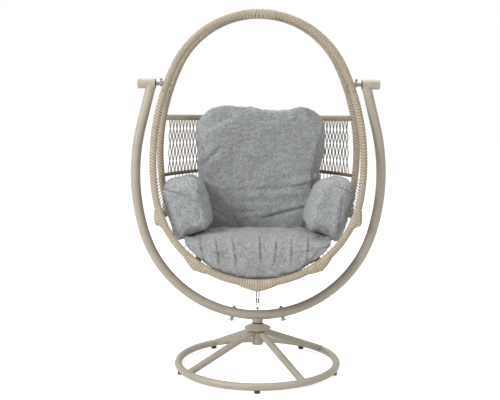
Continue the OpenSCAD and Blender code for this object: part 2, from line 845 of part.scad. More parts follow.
module left_seat_rib() {
    mirror([1, 0, 0]) right_seat_rib();
}

module right_arm_rib() {
    rope() seated_on_hoops() bowed_rib(arm_front, arm_back, arm_rib_bow, 90, rope_r);
}

module left_arm_rib() {
    mirror([1, 0, 0]) right_arm_rib();
}

module strap_anchor() {
    zinc() difference() {
        translate([0, 0, anchor_z]) eye(eye_r, anchor_wire_r);
        rod(mid_front, mid_back, rope_r);
    }
}

// ---------------------------------------------------------------- egg: nets
// A closed mesh over rings of equal counts, in order, with flat ends.
module ringed(rings) {
    n = len(rings[0]);
    last = (len(rings) - 1) * n;
    polyhedron(
        points = [for (ring = rings) for (p = ring) p],
        faces = concat(
            [for (i = [0 : len(rings) - 2], j = [0 : n - 1])
                each [[i * n + j, i * n + (j + 1) % n, (i + 1) * n + j],
                    [(i + 1) * n + j, i * n + (j + 1) % n, (i + 1) * n + (j + 1) % n]]],
            [for (j = [1 : n - 2]) [0, j + 1, j]],
            [for (j = [1 : n - 2]) [last, last + j, last + j + 1]]),
        convexity = 4);
}

// A four-sided cord through points, cut short at both ends, with its rings spanned by a and b.
module cord(path, a, b, cut_first, cut_end) {
    m = len(path) - 1;
    first = path[0] + cut_first * unit(path[1] - path[0]);
    end = path[m] + cut_end * unit(path[m - 1] - path[m]);
    ringed([for (i = [0 : m]) let (p = i == 0 ? first : (i == m ? end : path[i]))
        [p + a, p + b, p - a, p - b]]);
}

function unit(d) = d / norm(d);
in_rope = rope_r - 3;
in_top_rail = top_rail_od / 2 - 3;
in_mid_rail = mid_rail_od / 2 - 3;

function mid_rail_at(x) = let (back = sqrt(mid_rail_r * mid_rail_r - x * x) - mid_rail_r + mid_rail_bulge)
    [x, mid_rail_y + back * cos(mid_rail_lean), mid_rail_z + back * sin(mid_rail_lean)];
function top_rail_at(x) = [x, top_rail_y, top_rail_z];
function low_hoop_at(h, x) = let (r = low_r(h)) [x, low_centre(h)[1] - sqrt(r * r - x * x)];

net_half = mid_rail_half - rope_r - 12;
net_pitch = 2 * net_half / net_pairs;

// The crossing pairs: each cord swings half a pitch to one side between the rows of crossings.
module back_net() {
    steps = 2 * net_rows + 2;
    rope() for (i = [0 : net_pairs - 1], way = [-1, 1]) {
        x = -net_half + net_pitch * (i + 0.5);
        cord([for (k = [0 : steps]) let (
                t = k / steps,
                swing = k == 0 || k == steps ? 0.3 : (k % 2 == 1 ? 0.42 : -0.42),
                p = (1 - t) * top_rail_at(x) + t * mid_rail_at(x))
            p + [way * swing * net_pitch * 0.5, way * (net_r + 0.3), 0]],
            [net_r, 0, 0], [0, net_r, 0], in_top_rail, in_mid_rail);
    }
}

module lower_back_net() {
    count = 2 * floor(net_pairs / 2) - 2;
    reach = seat_rib_x + 40;
    rope() for (i = [0 : count - 1]) {
        x = reach * (2 * i / (count - 1) - 1);
        // the hoop is met at a slant, so the cord is cut longer
        cord([mid_rail_at(x), in_rear(low_hoop_at(rear_hoop_arcs, x))],
            [net_r, 0, 0], [0, net_r, 0], in_mid_rail,
            in_rope / sqrt(1 - pow(x / low_r(rear_hoop_arcs), 2)) + 1);
    }
}

module seat_net() {
    count = net_pairs - 2;
    reach = seat_rib_x + 60;
    rope() for (i = [0 : count - 1]) {
        x = reach * (2 * i / (count - 1) - 1);
        cord([in_front(low_hoop_at(front_hoop_arcs, x)), in_rear(low_hoop_at(rear_hoop_arcs, x))],
            [net_r, 0, 0], [0, 0, net_r], in_rope, in_rope);
    }
}

// Level cords between the sides of the two hoops, behind the arm cushions.
module side_nets() {
    count = 8;
    rope() for (side = [-1, 1], i = [0 : count - 1]) {
        z = arm_rib_z + rope_r + 11 + i * 24;
        front_x = side_reach(front_hoop_arcs, (z - apex_z) / cos(front_tilt));
        rear_x = side_reach(rear_hoop_arcs, rear_v(z));
        cord([[side * front_x, front_plane_y(z), z], [side * rear_x, rear_plane_y(z), z]],
            [net_r, 0, 0], [0, 0, net_r], in_rope, in_rope);
    }
}

function front_plane_y(z) = apex_y + (z - apex_z) * tan(front_tilt);
function side_reach(h, v) = v > side_end(h)[1] ? side_x_at(h, v)
    : sqrt(pow(low_r(h), 2) - pow(v - low_centre(h)[1], 2));

// ---------------------------------------------------------------- cushions
around = 28;
along = 23;
function spow(v, e) = sign(v) * pow(abs(v), e);

// A cushion: a squared ball whose unit point q is placed by a function. Smaller powers give
// squarer ends (e[0], e[1]) and squarer sides (e[2], e[3]).
module cushion(e, place) {
    rings = [for (i = [1 : along]) let (a = 180 * i / (along + 1)) [for (j = [0 : around - 1])
        let (b = 360 * j / around)
            place([-spow(cos(a), e[0]), spow(sin(a), e[1]) * spow(cos(b), e[2]),
                spow(sin(a), e[1]) * spow(sin(b), e[3])])]];
    color([0.58, 0.59, 0.6]) capped(rings, place([-1, 0, 0]), place([1, 0, 0]));
}

// A closed mesh over rings with a point at each end.
module capped(rings, first, end) {
    n = len(rings[0]);
    m = len(rings);
    polyhedron(
        points = concat([for (ring = rings) for (p = ring) p], [first, end]),
        faces = concat(
            [for (i = [0 : m - 2], j = [0 : n - 1])
                each [[i * n + j, (i + 1) * n + j, i * n + (j + 1) % n],
                    [(i + 1) * n + j, (i + 1) * n + (j + 1) % n, i * n + (j + 1) % n]]],
            [for (j = [0 : n - 1]) [m * n, j, (j + 1) % n]],
            [for (j = [0 : n - 1]) [m * n + 1, (m - 1) * n + (j + 1) % n, (m - 1) * n + j]]),
        convexity = 4);
}

// The seat cushion lies on the seat net in the front hoop's low bend; q is across, back, up.
seat_top_z = pivot_z - seat_top_drop;
seat_front_y = front_plane_y(seat_top_z) - 27;
seat_rise = 0.06;
seat_crown = 14;
net_gap = 7;
function seat_low_z(x) = apex_z + cos(front_tilt) * (low_centre(front_hoop_arcs)[1]
    - sqrt(pow(low_r(front_hoop_arcs) - rope_r, 2) - x * x))
    + net_gap - 20 * max(0, 1 - pow(x / 300, 2));
function seat_point(q) = let (
        x = q[0] * seat_half_w,
        low = seat_low_z(x),
        back = (q[1] + 1) / 2 * seat_depth,
        tuck = 4 * pow(cos(720 * q[0]), 2) * (1 - abs(q[2])) * (q[1] < 0 ? 1 : 0),
        crown = seat_crown * (1 - q[0] * q[0]) * (1 - q[1] * q[1]))
    [x, seat_front_y + back + tuck, (seat_top_z + low) / 2 + q[2] * (seat_top_z - low) / 2
        + (q[2] > 0 ? crown + seat_rise * back * q[2] : 0.05 * back * q[2])];

module seat_cushion() {
    cushion([0.42, 0.36, 0.42, 0.5], function (q) seat_point(q));
}

// The back cushion leans on both rails, with two ears at its top; q is across, back, up.
back_low_z = pivot_z - back_low_drop;
back_top_z = pivot_z - back_top_drop;
ear_h = 21;
back_low_y = rear_plane_y(back_low_z) - 63;
back_wrap = 40;
function back_point(q) = let (
        ears = ear_h * pow(sin(180 * min(1, abs(q[0]) / 1.12)), 2),
        top = back_top_z - ear_h + ears,
        z = (back_low_z + top) / 2 + q[2] * (top - back_low_z) / 2,
        t = (z - back_low_z) / (back_top_z - back_low_z),
        waist = 1 - 0.05 * pow(sin(180 * t), 2) - 0.1 * pow(1 - t, 3),
        lean = back_low_y + 169 * t - 85 * t * t - 248 * t * t * t
            - back_wrap * q[0] * q[0] * sin(180 * min(1, t)))
    [q[0] * back_half_w * waist, lean + q[1] * back_half_t, z];

module back_cushion() {
    cushion([0.42, 0.38, 0.6, 0.45], function (q) back_point(q));
}

// An arm cushion stands on the seat's side and leans outwards; q is up, forwards, outwards.
arm_low_z = pivot_z - arm_low_drop;
arm_top_z = pivot_z - arm_top_drop;
arm_low_x = 314;
arm_half_t = 74;
function arm_point(q) = let (
        t = (q[0] + 1) / 2,
        low = arm_low_z - 40 * q[2] - 8 * q[2] * q[2],
        top = arm_top_z - 18 * q[2])
    [arm_low_x + 50 * t + 36 * pow(t, 1.9) + q[2] * (arm_half_t + 51 * t - 34 * pow(t, 1.9)),
        -8 - q[1] * arm_depth / 2, low + t * (top - low)];

module right_arm_cushion() {
    cushion([0.36, 0.32, 0.45, 0.38], function (q) arm_point(q));
}

module left_arm_cushion() {
    mirror([1, 0, 0]) right_arm_cushion();
}

// ---------------------------------------------------------------- tether
module tether_strap() {
    black() rotate([0, 0, -link_twist]) {
        welded_bend([0, anchor_z - strap_half_w], strap_half_w, strap_r, 0, -90, 90);
        welded_bend([0, strap_low_z + strap_half_w], strap_half_w, strap_r, 0, 90, 270);
        for (side = [-1, 1]) translate([side * strap_half_w, 0, strap_low_z + strap_half_w])
            cylinder(r = strap_r, h = strap_h - 2 * strap_half_w);
    }
}

hook_low_bow = 10;
hook_top_bow = 7;
gate_pivot = [8, hook_top_z - 13];
gate_tip = [hook_low_bow, eye_z + 16];
rivet_r = 1.2;
knuckle_r = 2.6;

module snap_hook() {
    zinc() rotate([0, 0, link_twist]) difference() {
        union() {
            welded_bend([0, eye_z + hook_low_bow], hook_low_bow, hook_r, 0, 90, 270);
            translate([hook_low_bow, 0, eye_z + hook_low_bow]) cylinder(r = hook_r, h = 4);
            rod([-hook_low_bow, 0, eye_z + hook_low_bow], [-hook_top_bow, 0, hook_top_z - hook_top_bow],
                hook_r);
            bend([0, hook_top_z - hook_top_bow], hook_top_bow, hook_r, 0, -90, 90);
            translate([hook_top_bow - hook_r, -4, hook_top_z - hook_top_bow - 2]) cube([2 * hook_r, 8, 3]);
            for (side = [-1, 1]) translate([hook_top_bow - hook_r, side * 3.1 - 0.9, gate_pivot[1] - knuckle_r])
                cube([2 * hook_r, 1.8, hook_top_z - hook_top_bow - gate_pivot[1] + knuckle_r]);
        }
        gate_pin(rivet_r);
    }
}

module gate_pin(r) {
    translate([gate_pivot[0], 0, gate_pivot[1]]) rotate([90, 0, 0])
        cylinder(r = r, h = 9, center = true);
}

module hook_gate() {
    zinc() rotate([0, 0, link_twist]) difference() {
        union() {
            rod([gate_pivot[0], 0, gate_pivot[1]], [gate_tip[0], 0, gate_tip[1]], 1.9);
            translate([gate_pivot[0], 0, gate_pivot[1]]) rotate([90, 0, 0])
                cylinder(r = knuckle_r - 0.2, h = 3.8, center = true);
        }
        gate_pin(rivet_r + running_gap);
    }
}

module gate_rivet() {
    zinc() rotate([0, 0, link_twist]) gate_pin(rivet_r);
}

base_ring();
spoke_front_right();
spoke_rear_right();
spoke_rear_left();
spoke_front_left();
hub_plate();
bearing_sleeve();
glide_feet();
swivel_bushes();
thrust_washer();
swivel_post();
post_retainer();
saddle_boss();
centre_section();
left_arm();
right_arm();
left_pin_housing();
right_pin_housing();
end_caps();
pin_bushes();
clamp_bolts();
clamp_washers();
wing_nuts();
tether_eye();
left_pin();
right_pin();
pin_locking_screws();
front_crown_tube();
front_crown_rope();
rear_crown_tube();
rear_crown_rope();
front_rim_tube();
front_rim_rope();
rear_frame_tube();
rear_frame_rope();
crown_binding();
splice_spigots();
splice_bolts();
top_rail();
mid_rail();
centre_rib();
left_seat_rib();
right_seat_rib();
left_arm_rib();
right_arm_rib();
back_net();
lower_back_net();
seat_net();
side_nets();
strap_anchor();
seat_cushion();
back_cushion();
left_arm_cushion();
right_arm_cushion();
tether_strap();
snap_hook();
hook_gate();
gate_rivet();
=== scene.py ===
# %% [markdown]
# # Dressing a hanging egg chair
# The solids of the chair come in as a fixed frame: a round foot, a horseshoe stand that turns on it, and an egg
# of two rope-bound hoops that hangs on two pins. What the solids leave plain is made here: the turns of rope,
# the nets, the padding and the finish of the metal. Everything is in metres, with +Z up.

import math

import bpy
import numpy as np
from mathutils import Matrix, Vector


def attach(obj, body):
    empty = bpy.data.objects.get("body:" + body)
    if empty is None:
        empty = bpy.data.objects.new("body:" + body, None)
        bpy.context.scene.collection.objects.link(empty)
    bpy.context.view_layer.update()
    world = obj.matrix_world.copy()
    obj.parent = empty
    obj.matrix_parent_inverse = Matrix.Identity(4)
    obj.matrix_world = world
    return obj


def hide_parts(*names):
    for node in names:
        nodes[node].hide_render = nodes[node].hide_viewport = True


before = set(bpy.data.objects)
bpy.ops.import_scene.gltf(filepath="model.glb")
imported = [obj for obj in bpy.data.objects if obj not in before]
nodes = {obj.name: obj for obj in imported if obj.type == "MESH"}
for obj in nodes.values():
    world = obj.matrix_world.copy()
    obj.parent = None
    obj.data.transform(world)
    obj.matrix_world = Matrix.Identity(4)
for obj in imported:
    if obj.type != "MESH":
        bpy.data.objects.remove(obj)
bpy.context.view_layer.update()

# %% [markdown]
# ## The camera
# The chair was seen from five metres, a little above the armrests, with a lens of about 70 mm. A small sideways
# shift puts the chair where it stood in the frame, and a third of a degree of roll gives it the same slight lean.

# %% Camera
CAMERA_AT, LOOKS_DOWN, ROLL = (0, -5.038, 1.61), 8.04, 0.3
camera = bpy.data.objects.new("camera", bpy.data.cameras.new("camera"))
bpy.context.scene.collection.objects.link(camera)
camera.data.lens = 70.37
camera.data.sensor_width = 36
camera.data.shift_x = -0.0163
aim = Matrix.Rotation(math.radians(90 - LOOKS_DOWN), 4, "X") @ Matrix.Rotation(math.radians(ROLL), 4, "Z")
camera.matrix_world = Matrix.Translation(CAMERA_AT) @ aim
bpy.context.scene.camera = camera
print("camera at", tuple(round(c, 3) for c in camera.location))

# %% [markdown]
# ## Helpers for surfaces
# A new piece is worked out as a grid of points: one index runs along it, the other round it. The helpers turn
# such a grid into a closed mesh. A piece is then given the body that it rides on and the solid that it stands
# for.

# %% Grid helpers
def bare_object(name, points, faces):
    """A mesh object from arrays of points (n, 3) and of faces (m, 3 or 4)."""
    mesh = bpy.data.meshes.new(name)
    faces = np.asarray(faces)
    mesh.vertices.add(len(points))
    mesh.vertices.foreach_set("co", np.ascontiguousarray(points, dtype=np.float32).ravel())
    mesh.loops.add(faces.size)
    mesh.loops.foreach_set("vertex_index", faces.astype(np.int32).ravel())
    mesh.polygons.add(len(faces))
    mesh.polygons.foreach_set("loop_start", np.arange(0, faces.size, faces.shape[1], dtype=np.int32))
    mesh.update(calc_edges=True)
    obj = bpy.data.objects.new(name, mesh)
    bpy.context.scene.collection.objects.link(obj)
    return obj


def piece(name, points, faces, body, stands_for, material, uv=None):
    """A smooth object of one material that rides on a body and is seen in place of the solids it stands for."""
    obj = bare_object(name, points, faces)
    mesh = obj.data
    mesh.polygons.foreach_set("use_smooth", np.ones(len(faces), dtype=bool))
    if uv is not None:
        layer = mesh.uv_layers.new(name="lay")
        layer.data.foreach_set("uv", np.ascontiguousarray(uv, dtype=np.float32).ravel())
    mesh.validate()
    mesh.materials.append(material)
    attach(obj, body)
    if stands_for:
        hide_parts(*stands_for)
    return obj


def unit(v):
    """Vectors along the last axis at length one."""
    return v / np.linalg.norm(v, axis=-1, keepdims=True)


def around(first, second, sides):
    """Unit vectors round each point of a line: cos a · first + sin a · second, at equal steps of a."""
    a = np.arange(sides) * 2 * np.pi / sides
    return np.cos(a)[:, None] * first[..., None, :] + np.sin(a)[:, None] * second[..., None, :]


def between(starts, ends, t):
    """Points at shares t of the way from each start to its end, as (lines, shares, 3)."""
    return (1 - t)[None, :, None] * starts[:, None] + t[None, :, None] * ends[:, None]


def closed_tube(rings, sides):
    """Triangles between rings of points, with two fans that close the ends on the two points after the rings.
    They face outwards when the rings turn anticlockwise seen from the far end."""
    i, j = np.meshgrid(np.arange(rings - 1), np.arange(sides), indexing="ij")
    a, b = i * sides + j, i * sides + (j + 1) % sides
    quads = np.stack([a, b, b + sides, a + sides], -1).reshape(-1, 4)
    here = np.arange(sides)
    after, last = (here + 1) % sides, (rings - 1) * sides
    start = np.stack([after, here, np.full(sides, rings * sides)], -1)
    end = np.stack([last + here, last + after, np.full(sides, rings * sides + 1)], -1)
    return np.concatenate([quads[:, [0, 1, 2]], quads[:, [0, 2, 3]], start, end])


def many_tubes(centres, across, beyond, radius, sides):
    """Closed tubes of one count of rings. centres is (tubes, rings, 3); across and beyond are two directions
    square to each tube."""
    tubes, rings = centres.shape[:2]
    skin = centres[:, :, None] + radius * around(across, beyond, sides)
    points = np.concatenate([skin.reshape(tubes, -1, 3), centres[:, :1], centres[:, -1:]], 1)
    first_point = (rings * sides + 2) * np.arange(tubes)
    faces = closed_tube(rings, sides)[None] + first_point[:, None, None]
    return points.reshape(-1, 3), faces.reshape(-1, 3)


def smooth(x, low, high):
    """0 below low, 1 above high, and a smooth step between."""
    t = np.clip((x - low) / (high - low), 0, 1)
    return t * t * (3 - 2 * t)


print("helpers ready")

# %% [markdown]
# ## The lines that the egg is built on
# Both hoops are three arcs on each side of their top: a round top, a long flat side and a round bottom. The same
# numbers as in the solids are repeated here, because every turn of rope follows these lines. A point on a hoop is
# found from its distance along the hoop, counted from the top, positive to the right.

# %% Hoop lines
FRONT = dict(drop=0.0, arcs=[(0.475, 66), (1.18, 33)], lean=14.0, y=0.0907207, splice=72.4024)
REAR = dict(drop=-0.012, arcs=[(0.462, 64), (1.12, 36)], lean=-6.0, y=0.1291207, splice=70.9036)
APEX_Z = 1.8618613


def hoop_parts(hoop):
    """Centres, radii and turns of the top, side and low arc; the low arc closes the hoop on the middle plane."""
    (r1, t1), (r2, t2) = hoop["arcs"]
    c1 = np.array([0, hoop["drop"] - r1])
    u1 = np.array([math.sin(math.radians(t1)), math.cos(math.radians(t1))])
    c2 = c1 + (r1 - r2) * u1
    low = math.radians(t1 + t2)
    end = c2 + r2 * np.array([math.sin(low), math.cos(low)])
    r3 = end[0] / math.sin(low)
    c3 = np.array([0, end[1] - r3 * math.cos(low)])
    return (c1, c2, c3), (r1, r2, r3), (math.radians(t1), low, math.pi)


def hoop_length(hoop, turn=180.0):
    """Length from the top to a turn in degrees."""
    _, r, t = hoop_parts(hoop)
    turn = math.radians(turn)
    return r[0] * min(turn, t[0]) + r[1] * max(0, min(turn, t[1]) - t[0]) + r[2] * max(0, turn - t[1])


def on_hoop(hoop, s):
    """Centre points, outward and forward unit vectors of a hoop at distances s from its top. Distances past the
    bottom come back up the left side."""
    c, r, t = hoop_parts(hoop)
    half = hoop_length(hoop)
    s = np.where(s > half, s - 2 * half, s)
    side, s = np.where(s < 0, -1, 1), np.abs(s)
    l1, l2 = r[0] * t[0], r[1] * (t[1] - t[0])
    turn = np.where(s < l1, s / r[0],
                    np.where(s < l1 + l2, t[0] + (s - l1) / r[1], t[1] + (s - l1 - l2) / r[2]))
    which = np.where(s < l1, 0, np.where(s < l1 + l2, 1, 2))
    flat = np.stack([np.sin(turn), np.cos(turn)], -1)
    at = np.array(c)[which] + np.array(r)[which][:, None] * flat
    lean = math.radians(hoop["lean"])

    def out_of_plane(p, base):
        return np.stack([side * p[:, 0], base[0] + p[:, 1] * math.sin(lean),
                         base[1] + p[:, 1] * math.cos(lean)], -1)

    forward = np.tile([0, -math.cos(lean), math.sin(lean)], (len(s), 1))
    return out_of_plane(at, (hoop["y"], APEX_Z)), out_of_plane(flat, (0, 0)), forward


def s_at_height(hoop, z):
    """Distance along the hoop at which it passes a height, on the right side."""
    s = np.linspace(0, hoop_length(hoop), 4000)
    return float(np.interp(-z, -on_hoop(hoop, s)[0][:, 2], s))


def s_at_width(hoop, x):
    """Distance along the hoop's bottom, past the right side, at which it passes a width."""
    s = np.linspace(hoop_length(hoop) * 0.7, hoop_length(hoop) * 1.3, 3000)
    return float(np.interp(-x, -on_hoop(hoop, s)[0][:, 0], s))


print("front hoop", round(2 * hoop_length(FRONT), 3), "m round, rear hoop", round(2 * hoop_length(REAR), 3), "m")

# %% [markdown]
# ## Finishes
# Some effects serve more than one finish: the fine unevenness of a coat or a plating, and the way dust settles.
# Each is a node group, made once. Colours are given as they look on a screen and turned to the linear values
# that the shader works with.

# %% Node helpers
def screen(r, g, b):
    """A screen colour of 0 to 255 as linear red, green, blue and alpha."""
    c = np.array([r, g, b]) / 255
    return tuple(np.where(c <= 0.04045, c / 12.92, ((c + 0.055) / 1.055) ** 2.4)) + (1.0,)


def feed(tree, socket, value):
    """Link a socket where the value is a socket too, and set it where the value is a constant."""
    if isinstance(value, bpy.types.NodeSocket):
        tree.links.new(value, socket)
    else:
        socket.default_value = value


def node(tree, kind, inputs=(), **properties):
    """A node with its properties by name, and its inputs by name or number."""
    made = tree.nodes.new(kind)
    for key, value in properties.items():
        setattr(made, key, value)
    for socket, value in dict(inputs).items():
        feed(tree, made.inputs[socket], value)
    return made


def maths(tree, operation, *values):
    """The result of a Math node on sockets or numbers."""
    return node(tree, "ShaderNodeMath", enumerate(values), operation=operation).outputs[0]


def mix_colour(tree, share, a, b):
    """A colour between a and b by share; each is a socket or a constant."""
    return node(tree, "ShaderNodeMix", {0: share, 6: a, 7: b}, data_type="RGBA").outputs[2]


def remap(tree, value, low, high, to_low=0.0, to_high=1.0):
    """A value carried from one range to another, held at the ends."""
    return node(tree, "ShaderNodeMapRange", enumerate((value, low, high, to_low, to_high))).outputs[0]


def new_group(name, inputs, outputs):
    """A shader group with its two ends. inputs gives each number its default, and a vector None."""
    tree = bpy.data.node_groups.new(name, "ShaderNodeTree")
    for socket, value in inputs.items():
        kind = "NodeSocketVector" if value is None else "NodeSocketFloat"
        made = tree.interface.new_socket(name=socket, in_out="INPUT", socket_type=kind)
        if value is not None:
            made.default_value = value
    for socket in outputs:
        tree.interface.new_socket(name=socket, in_out="OUTPUT", socket_type="NodeSocketFloat")
    return tree, tree.nodes.new("NodeGroupInput").outputs, tree.nodes.new("NodeGroupOutput").inputs


def new_material(name):
    """A material with its tree, its shader and its coordinates."""
    made = bpy.data.materials.new(name)
    made.use_nodes = True
    tree = made.node_tree
    return made, tree, tree.nodes["Principled BSDF"], node(tree, "ShaderNodeTexCoord").outputs


def dress(tree, shader, height, strength, distance, inputs):
    """Give a shader its inputs and the relief of a height."""
    relief = node(tree, "ShaderNodeBump", {"Strength": strength, "Distance": distance, "Height": height})
    for socket, value in {**inputs, "Normal": relief.outputs[0]}.items():
        feed(tree, shader.inputs[socket], value)


# %% Shared groups
def make_mottle():
    """Mottle: coarse and fine noise added up, 0 to 1, with its size in metres."""
    tree, start, end = new_group("mottle", {"Vector": None, "Size": 0.01}, ["Value"])
    scale = maths(tree, "DIVIDE", 1.0, start["Size"])
    layers = []
    for detail, roughness, times, share in ((2.0, 0.55, 1.0, 0.65), (1.0, 0.5, 4.3, 0.35)):
        noise = node(tree, "ShaderNodeTexNoise", {
            "Vector": start["Vector"], "Scale": maths(tree, "MULTIPLY", scale, times),
            "Detail": detail, "Roughness": roughness})
        layers.append(maths(tree, "MULTIPLY", noise.outputs[0], share))
    feed(tree, end["Value"], remap(tree, maths(tree, "ADD", *layers), 0.32, 0.68))
    return tree


def make_settled_dust():
    """Settled dust: most on faces that look up, broken by noise."""
    tree, start, end = new_group("settled dust", {"Vector": None, "Amount": 0.2}, ["Mask"])
    shape = node(tree, "ShaderNodeNewGeometry")
    parts = node(tree, "ShaderNodeSeparateXYZ", {0: shape.outputs["Normal"]})
    up = remap(tree, parts.outputs[2], 0.2, 1.0)
    noise = node(tree, "ShaderNodeTexNoise", {"Vector": start["Vector"], "Scale": 38.0, "Detail": 3.0})
    broken = remap(tree, noise.outputs[0], 0.35, 0.75)
    mask = maths(tree, "MULTIPLY", maths(tree, "MULTIPLY", up, broken), start["Amount"])
    feed(tree, end["Mask"], mask)
    return tree


mottle, settled_dust = make_mottle(), make_settled_dust()


def grain(tree, place, size):
    """The shared mottle at a size in metres."""
    return node(tree, "ShaderNodeGroup", {"Vector": place, "Size": size}, node_tree=mottle).outputs[0]


print("shared groups:", mottle.name, "and", settled_dust.name)

# %% [markdown]
# ## Coat, plating and plastics
# The stand is powder-coated: a satin taupe skin with a faint orange peel and a little dust on top. The pins,
# bolts and nuts are zinc-plated, which is darker and less even, and the bolts at the splices have browned.
# Pin bushes, washer and feet are moulded black nylon, and the bushes of the swivel are a pale bearing plastic.
# All of them use the same mottle, at different sizes and strengths.

# %% Plain finishes
DUST = screen(214, 208, 196)


def finish(name, light, dark, rough=(0.4, 0.6), metal=0.0, size=0.03, bump=0.15, bump_size=0.0015, dust=0.0,
           sheen=0.0):
    """A finish that runs between two screen colours over a coarse mottle, with a fine bump of its own."""
    made, tree, shader, coords = new_material(name)
    place = coords["Object"]
    patches = grain(tree, place, size)
    colour = mix_colour(tree, patches, screen(*dark), screen(*light))
    if dust:
        settled = node(tree, "ShaderNodeGroup", {"Vector": place, "Amount": dust}, node_tree=settled_dust)
        colour = mix_colour(tree, settled.outputs[0], colour, DUST)
    dress(tree, shader, grain(tree, place, bump_size), bump, 0.0004, {
        "Base Color": colour, "Roughness": remap(tree, patches, 0, 1, *rough), "Metallic": metal,
        "Sheen Weight": sheen})
    return made


powder_coat = finish("powder coat", (169, 161, 147), (160, 151, 136), (0.38, 0.5), size=0.08, bump=0.2,
                     bump_size=0.0022, dust=0.18)
zinc = finish("zinc plate", (156, 150, 140), (104, 99, 90), (0.32, 0.52), 0.55, 0.012, 0.25, 0.0012)
black_nylon = finish("black nylon", (52, 52, 50), (34, 34, 33), (0.45, 0.65), size=0.01, dust=0.25)
bearing_plastic = finish("bearing plastic", (226, 223, 214), (206, 202, 190), (0.35, 0.5))
bolt_brown = finish("browned bolt", (112, 92, 70), (84, 66, 48), (0.5, 0.65), 0.3, 0.01)
hoop_steel = finish("hoop steel", (168, 160, 144), (150, 142, 126), (0.45, 0.6), size=0.05)
print("finishes:", powder_coat.name, zinc.name, black_nylon.name, bearing_plastic.name, bolt_brown.name,
      hoop_steel.name)

# %% [markdown]
# ## Rope
# The hoops are bound with a beige synthetic rope. The wound surface carries its own coordinates: one counts the
# bars of rope, the other runs round the tube. From the count the finish knows where a groove lies and paints
# shade into it, gives each strand its own tone, and lays three fine strands in each bar. The same group serves
# the net's cords.

# %% Rope finish
def make_strands():
    """Strands: from a bar count and an angle, a tone per strand, a mask of painted groove shade and a height."""
    tree, start, end = new_group("rope strands", {"Lay": None, "Strands": 3.0}, ["Tone", "Groove", "Height"])
    bars = node(tree, "ShaderNodeSeparateXYZ", {0: start["Lay"]}).outputs[0]
    count = maths(tree, "MULTIPLY", bars, start["Strands"])

    def off_middle(turns):
        return maths(tree, "ABSOLUTE", maths(tree, "SUBTRACT", maths(tree, "FRACT", turns), 0.5))

    bar, strand = off_middle(bars), off_middle(count)
    which = node(tree, "ShaderNodeTexWhiteNoise", {"W": maths(tree, "FLOOR", count)}, noise_dimensions="1D")
    feed(tree, end["Tone"], which.outputs["Value"])
    # The groove mask marks where bars and, fainter, strands meet; it only darkens the colour: painted shade.
    shallow = maths(tree, "MULTIPLY", remap(tree, strand, 0.3, 0.5), 0.2)
    feed(tree, end["Groove"], maths(tree, "MAXIMUM", remap(tree, bar, 0.30, 0.5), shallow))
    fall = maths(tree, "POWER", maths(tree, "MULTIPLY", strand, 2.0), 2.0)
    feed(tree, end["Height"], maths(tree, "SUBTRACT", 1.0, fall))
    return tree


strands = make_strands()


def rope_finish(name, light, dark, groove, strand_count=3.0, grooves=0.8):
    """Rope: light and dark by strand and by mottle, with painted shade in the grooves, rough, with a soft sheen.
    """
    made, tree, shader, coords = new_material(name)
    lay = node(tree, "ShaderNodeGroup", {"Lay": coords["UV"], "Strands": strand_count},
               node_tree=strands).outputs
    fibres, cloud = grain(tree, coords["Object"], 0.006), grain(tree, coords["Object"], 0.09)
    mottled = maths(tree, "ADD", maths(tree, "MULTIPLY", fibres, 0.4), maths(tree, "MULTIPLY", cloud, 0.3))
    tone = maths(tree, "ADD", maths(tree, "MULTIPLY", lay["Tone"], 0.3), mottled)
    base = mix_colour(tree, tone, screen(*dark), screen(*light))
    # Painted shade: the colour runs to the groove colour where bars and strands meet.
    colour = mix_colour(tree, maths(tree, "MULTIPLY", lay["Groove"], grooves), base, screen(*groove))
    height = maths(tree, "ADD", lay["Height"], maths(tree, "MULTIPLY", fibres, 0.5))
    dress(tree, shader, height, 0.6, 0.0009, {"Base Color": colour, "Roughness": 0.78, "Sheen Weight": 0.15})
    return made


# The third colour of each rope is the painted shade in its grooves.
hoop_rope = rope_finish("hoop rope", (196, 183, 163), (164, 151, 131), (74, 62, 46), grooves=0.95)
rail_rope = rope_finish("rail rope", (180, 167, 146), (146, 132, 109), (74, 61, 43))
# A darker copy of the rail rope, for the mid rail: painted shade.
shaded_rail_rope = rope_finish("shaded rail rope", (142, 126, 100), (104, 89, 66), (60, 48, 32))
net_cord = rope_finish("net cord", (176, 164, 142), (120, 107, 84), (72, 61, 44), 1.0, 0.35)
print("rope finishes:", hoop_rope.name, rail_rope.name, shaded_rail_rope.name, net_cord.name)

# %% [markdown]
# ## Winding rope on a tube
# The real rope is one long line wound on the bent steel. It could be modelled as one very long spiral, but that
# is heavy and its ends never meet well. Instead the whole wrap is one skin round the tube whose radius dips
# where two bars of rope meet. Where the dips lie is a formula, so the bars can lean, fan out or meet in a
# herringbone as they do on the real hoops.

# %% Wound surface
ROPE_R, ROPE_DIP = 0.0189, 0.0028
HOOP_SIDES, ROD_SIDES = 40, 32


def dip(bars):
    """1 at each whole number of bars, falling off on both sides of it."""
    near = np.abs(bars - np.round(bars)) * 2
    return (1 - near ** 0.7) ** 1.6


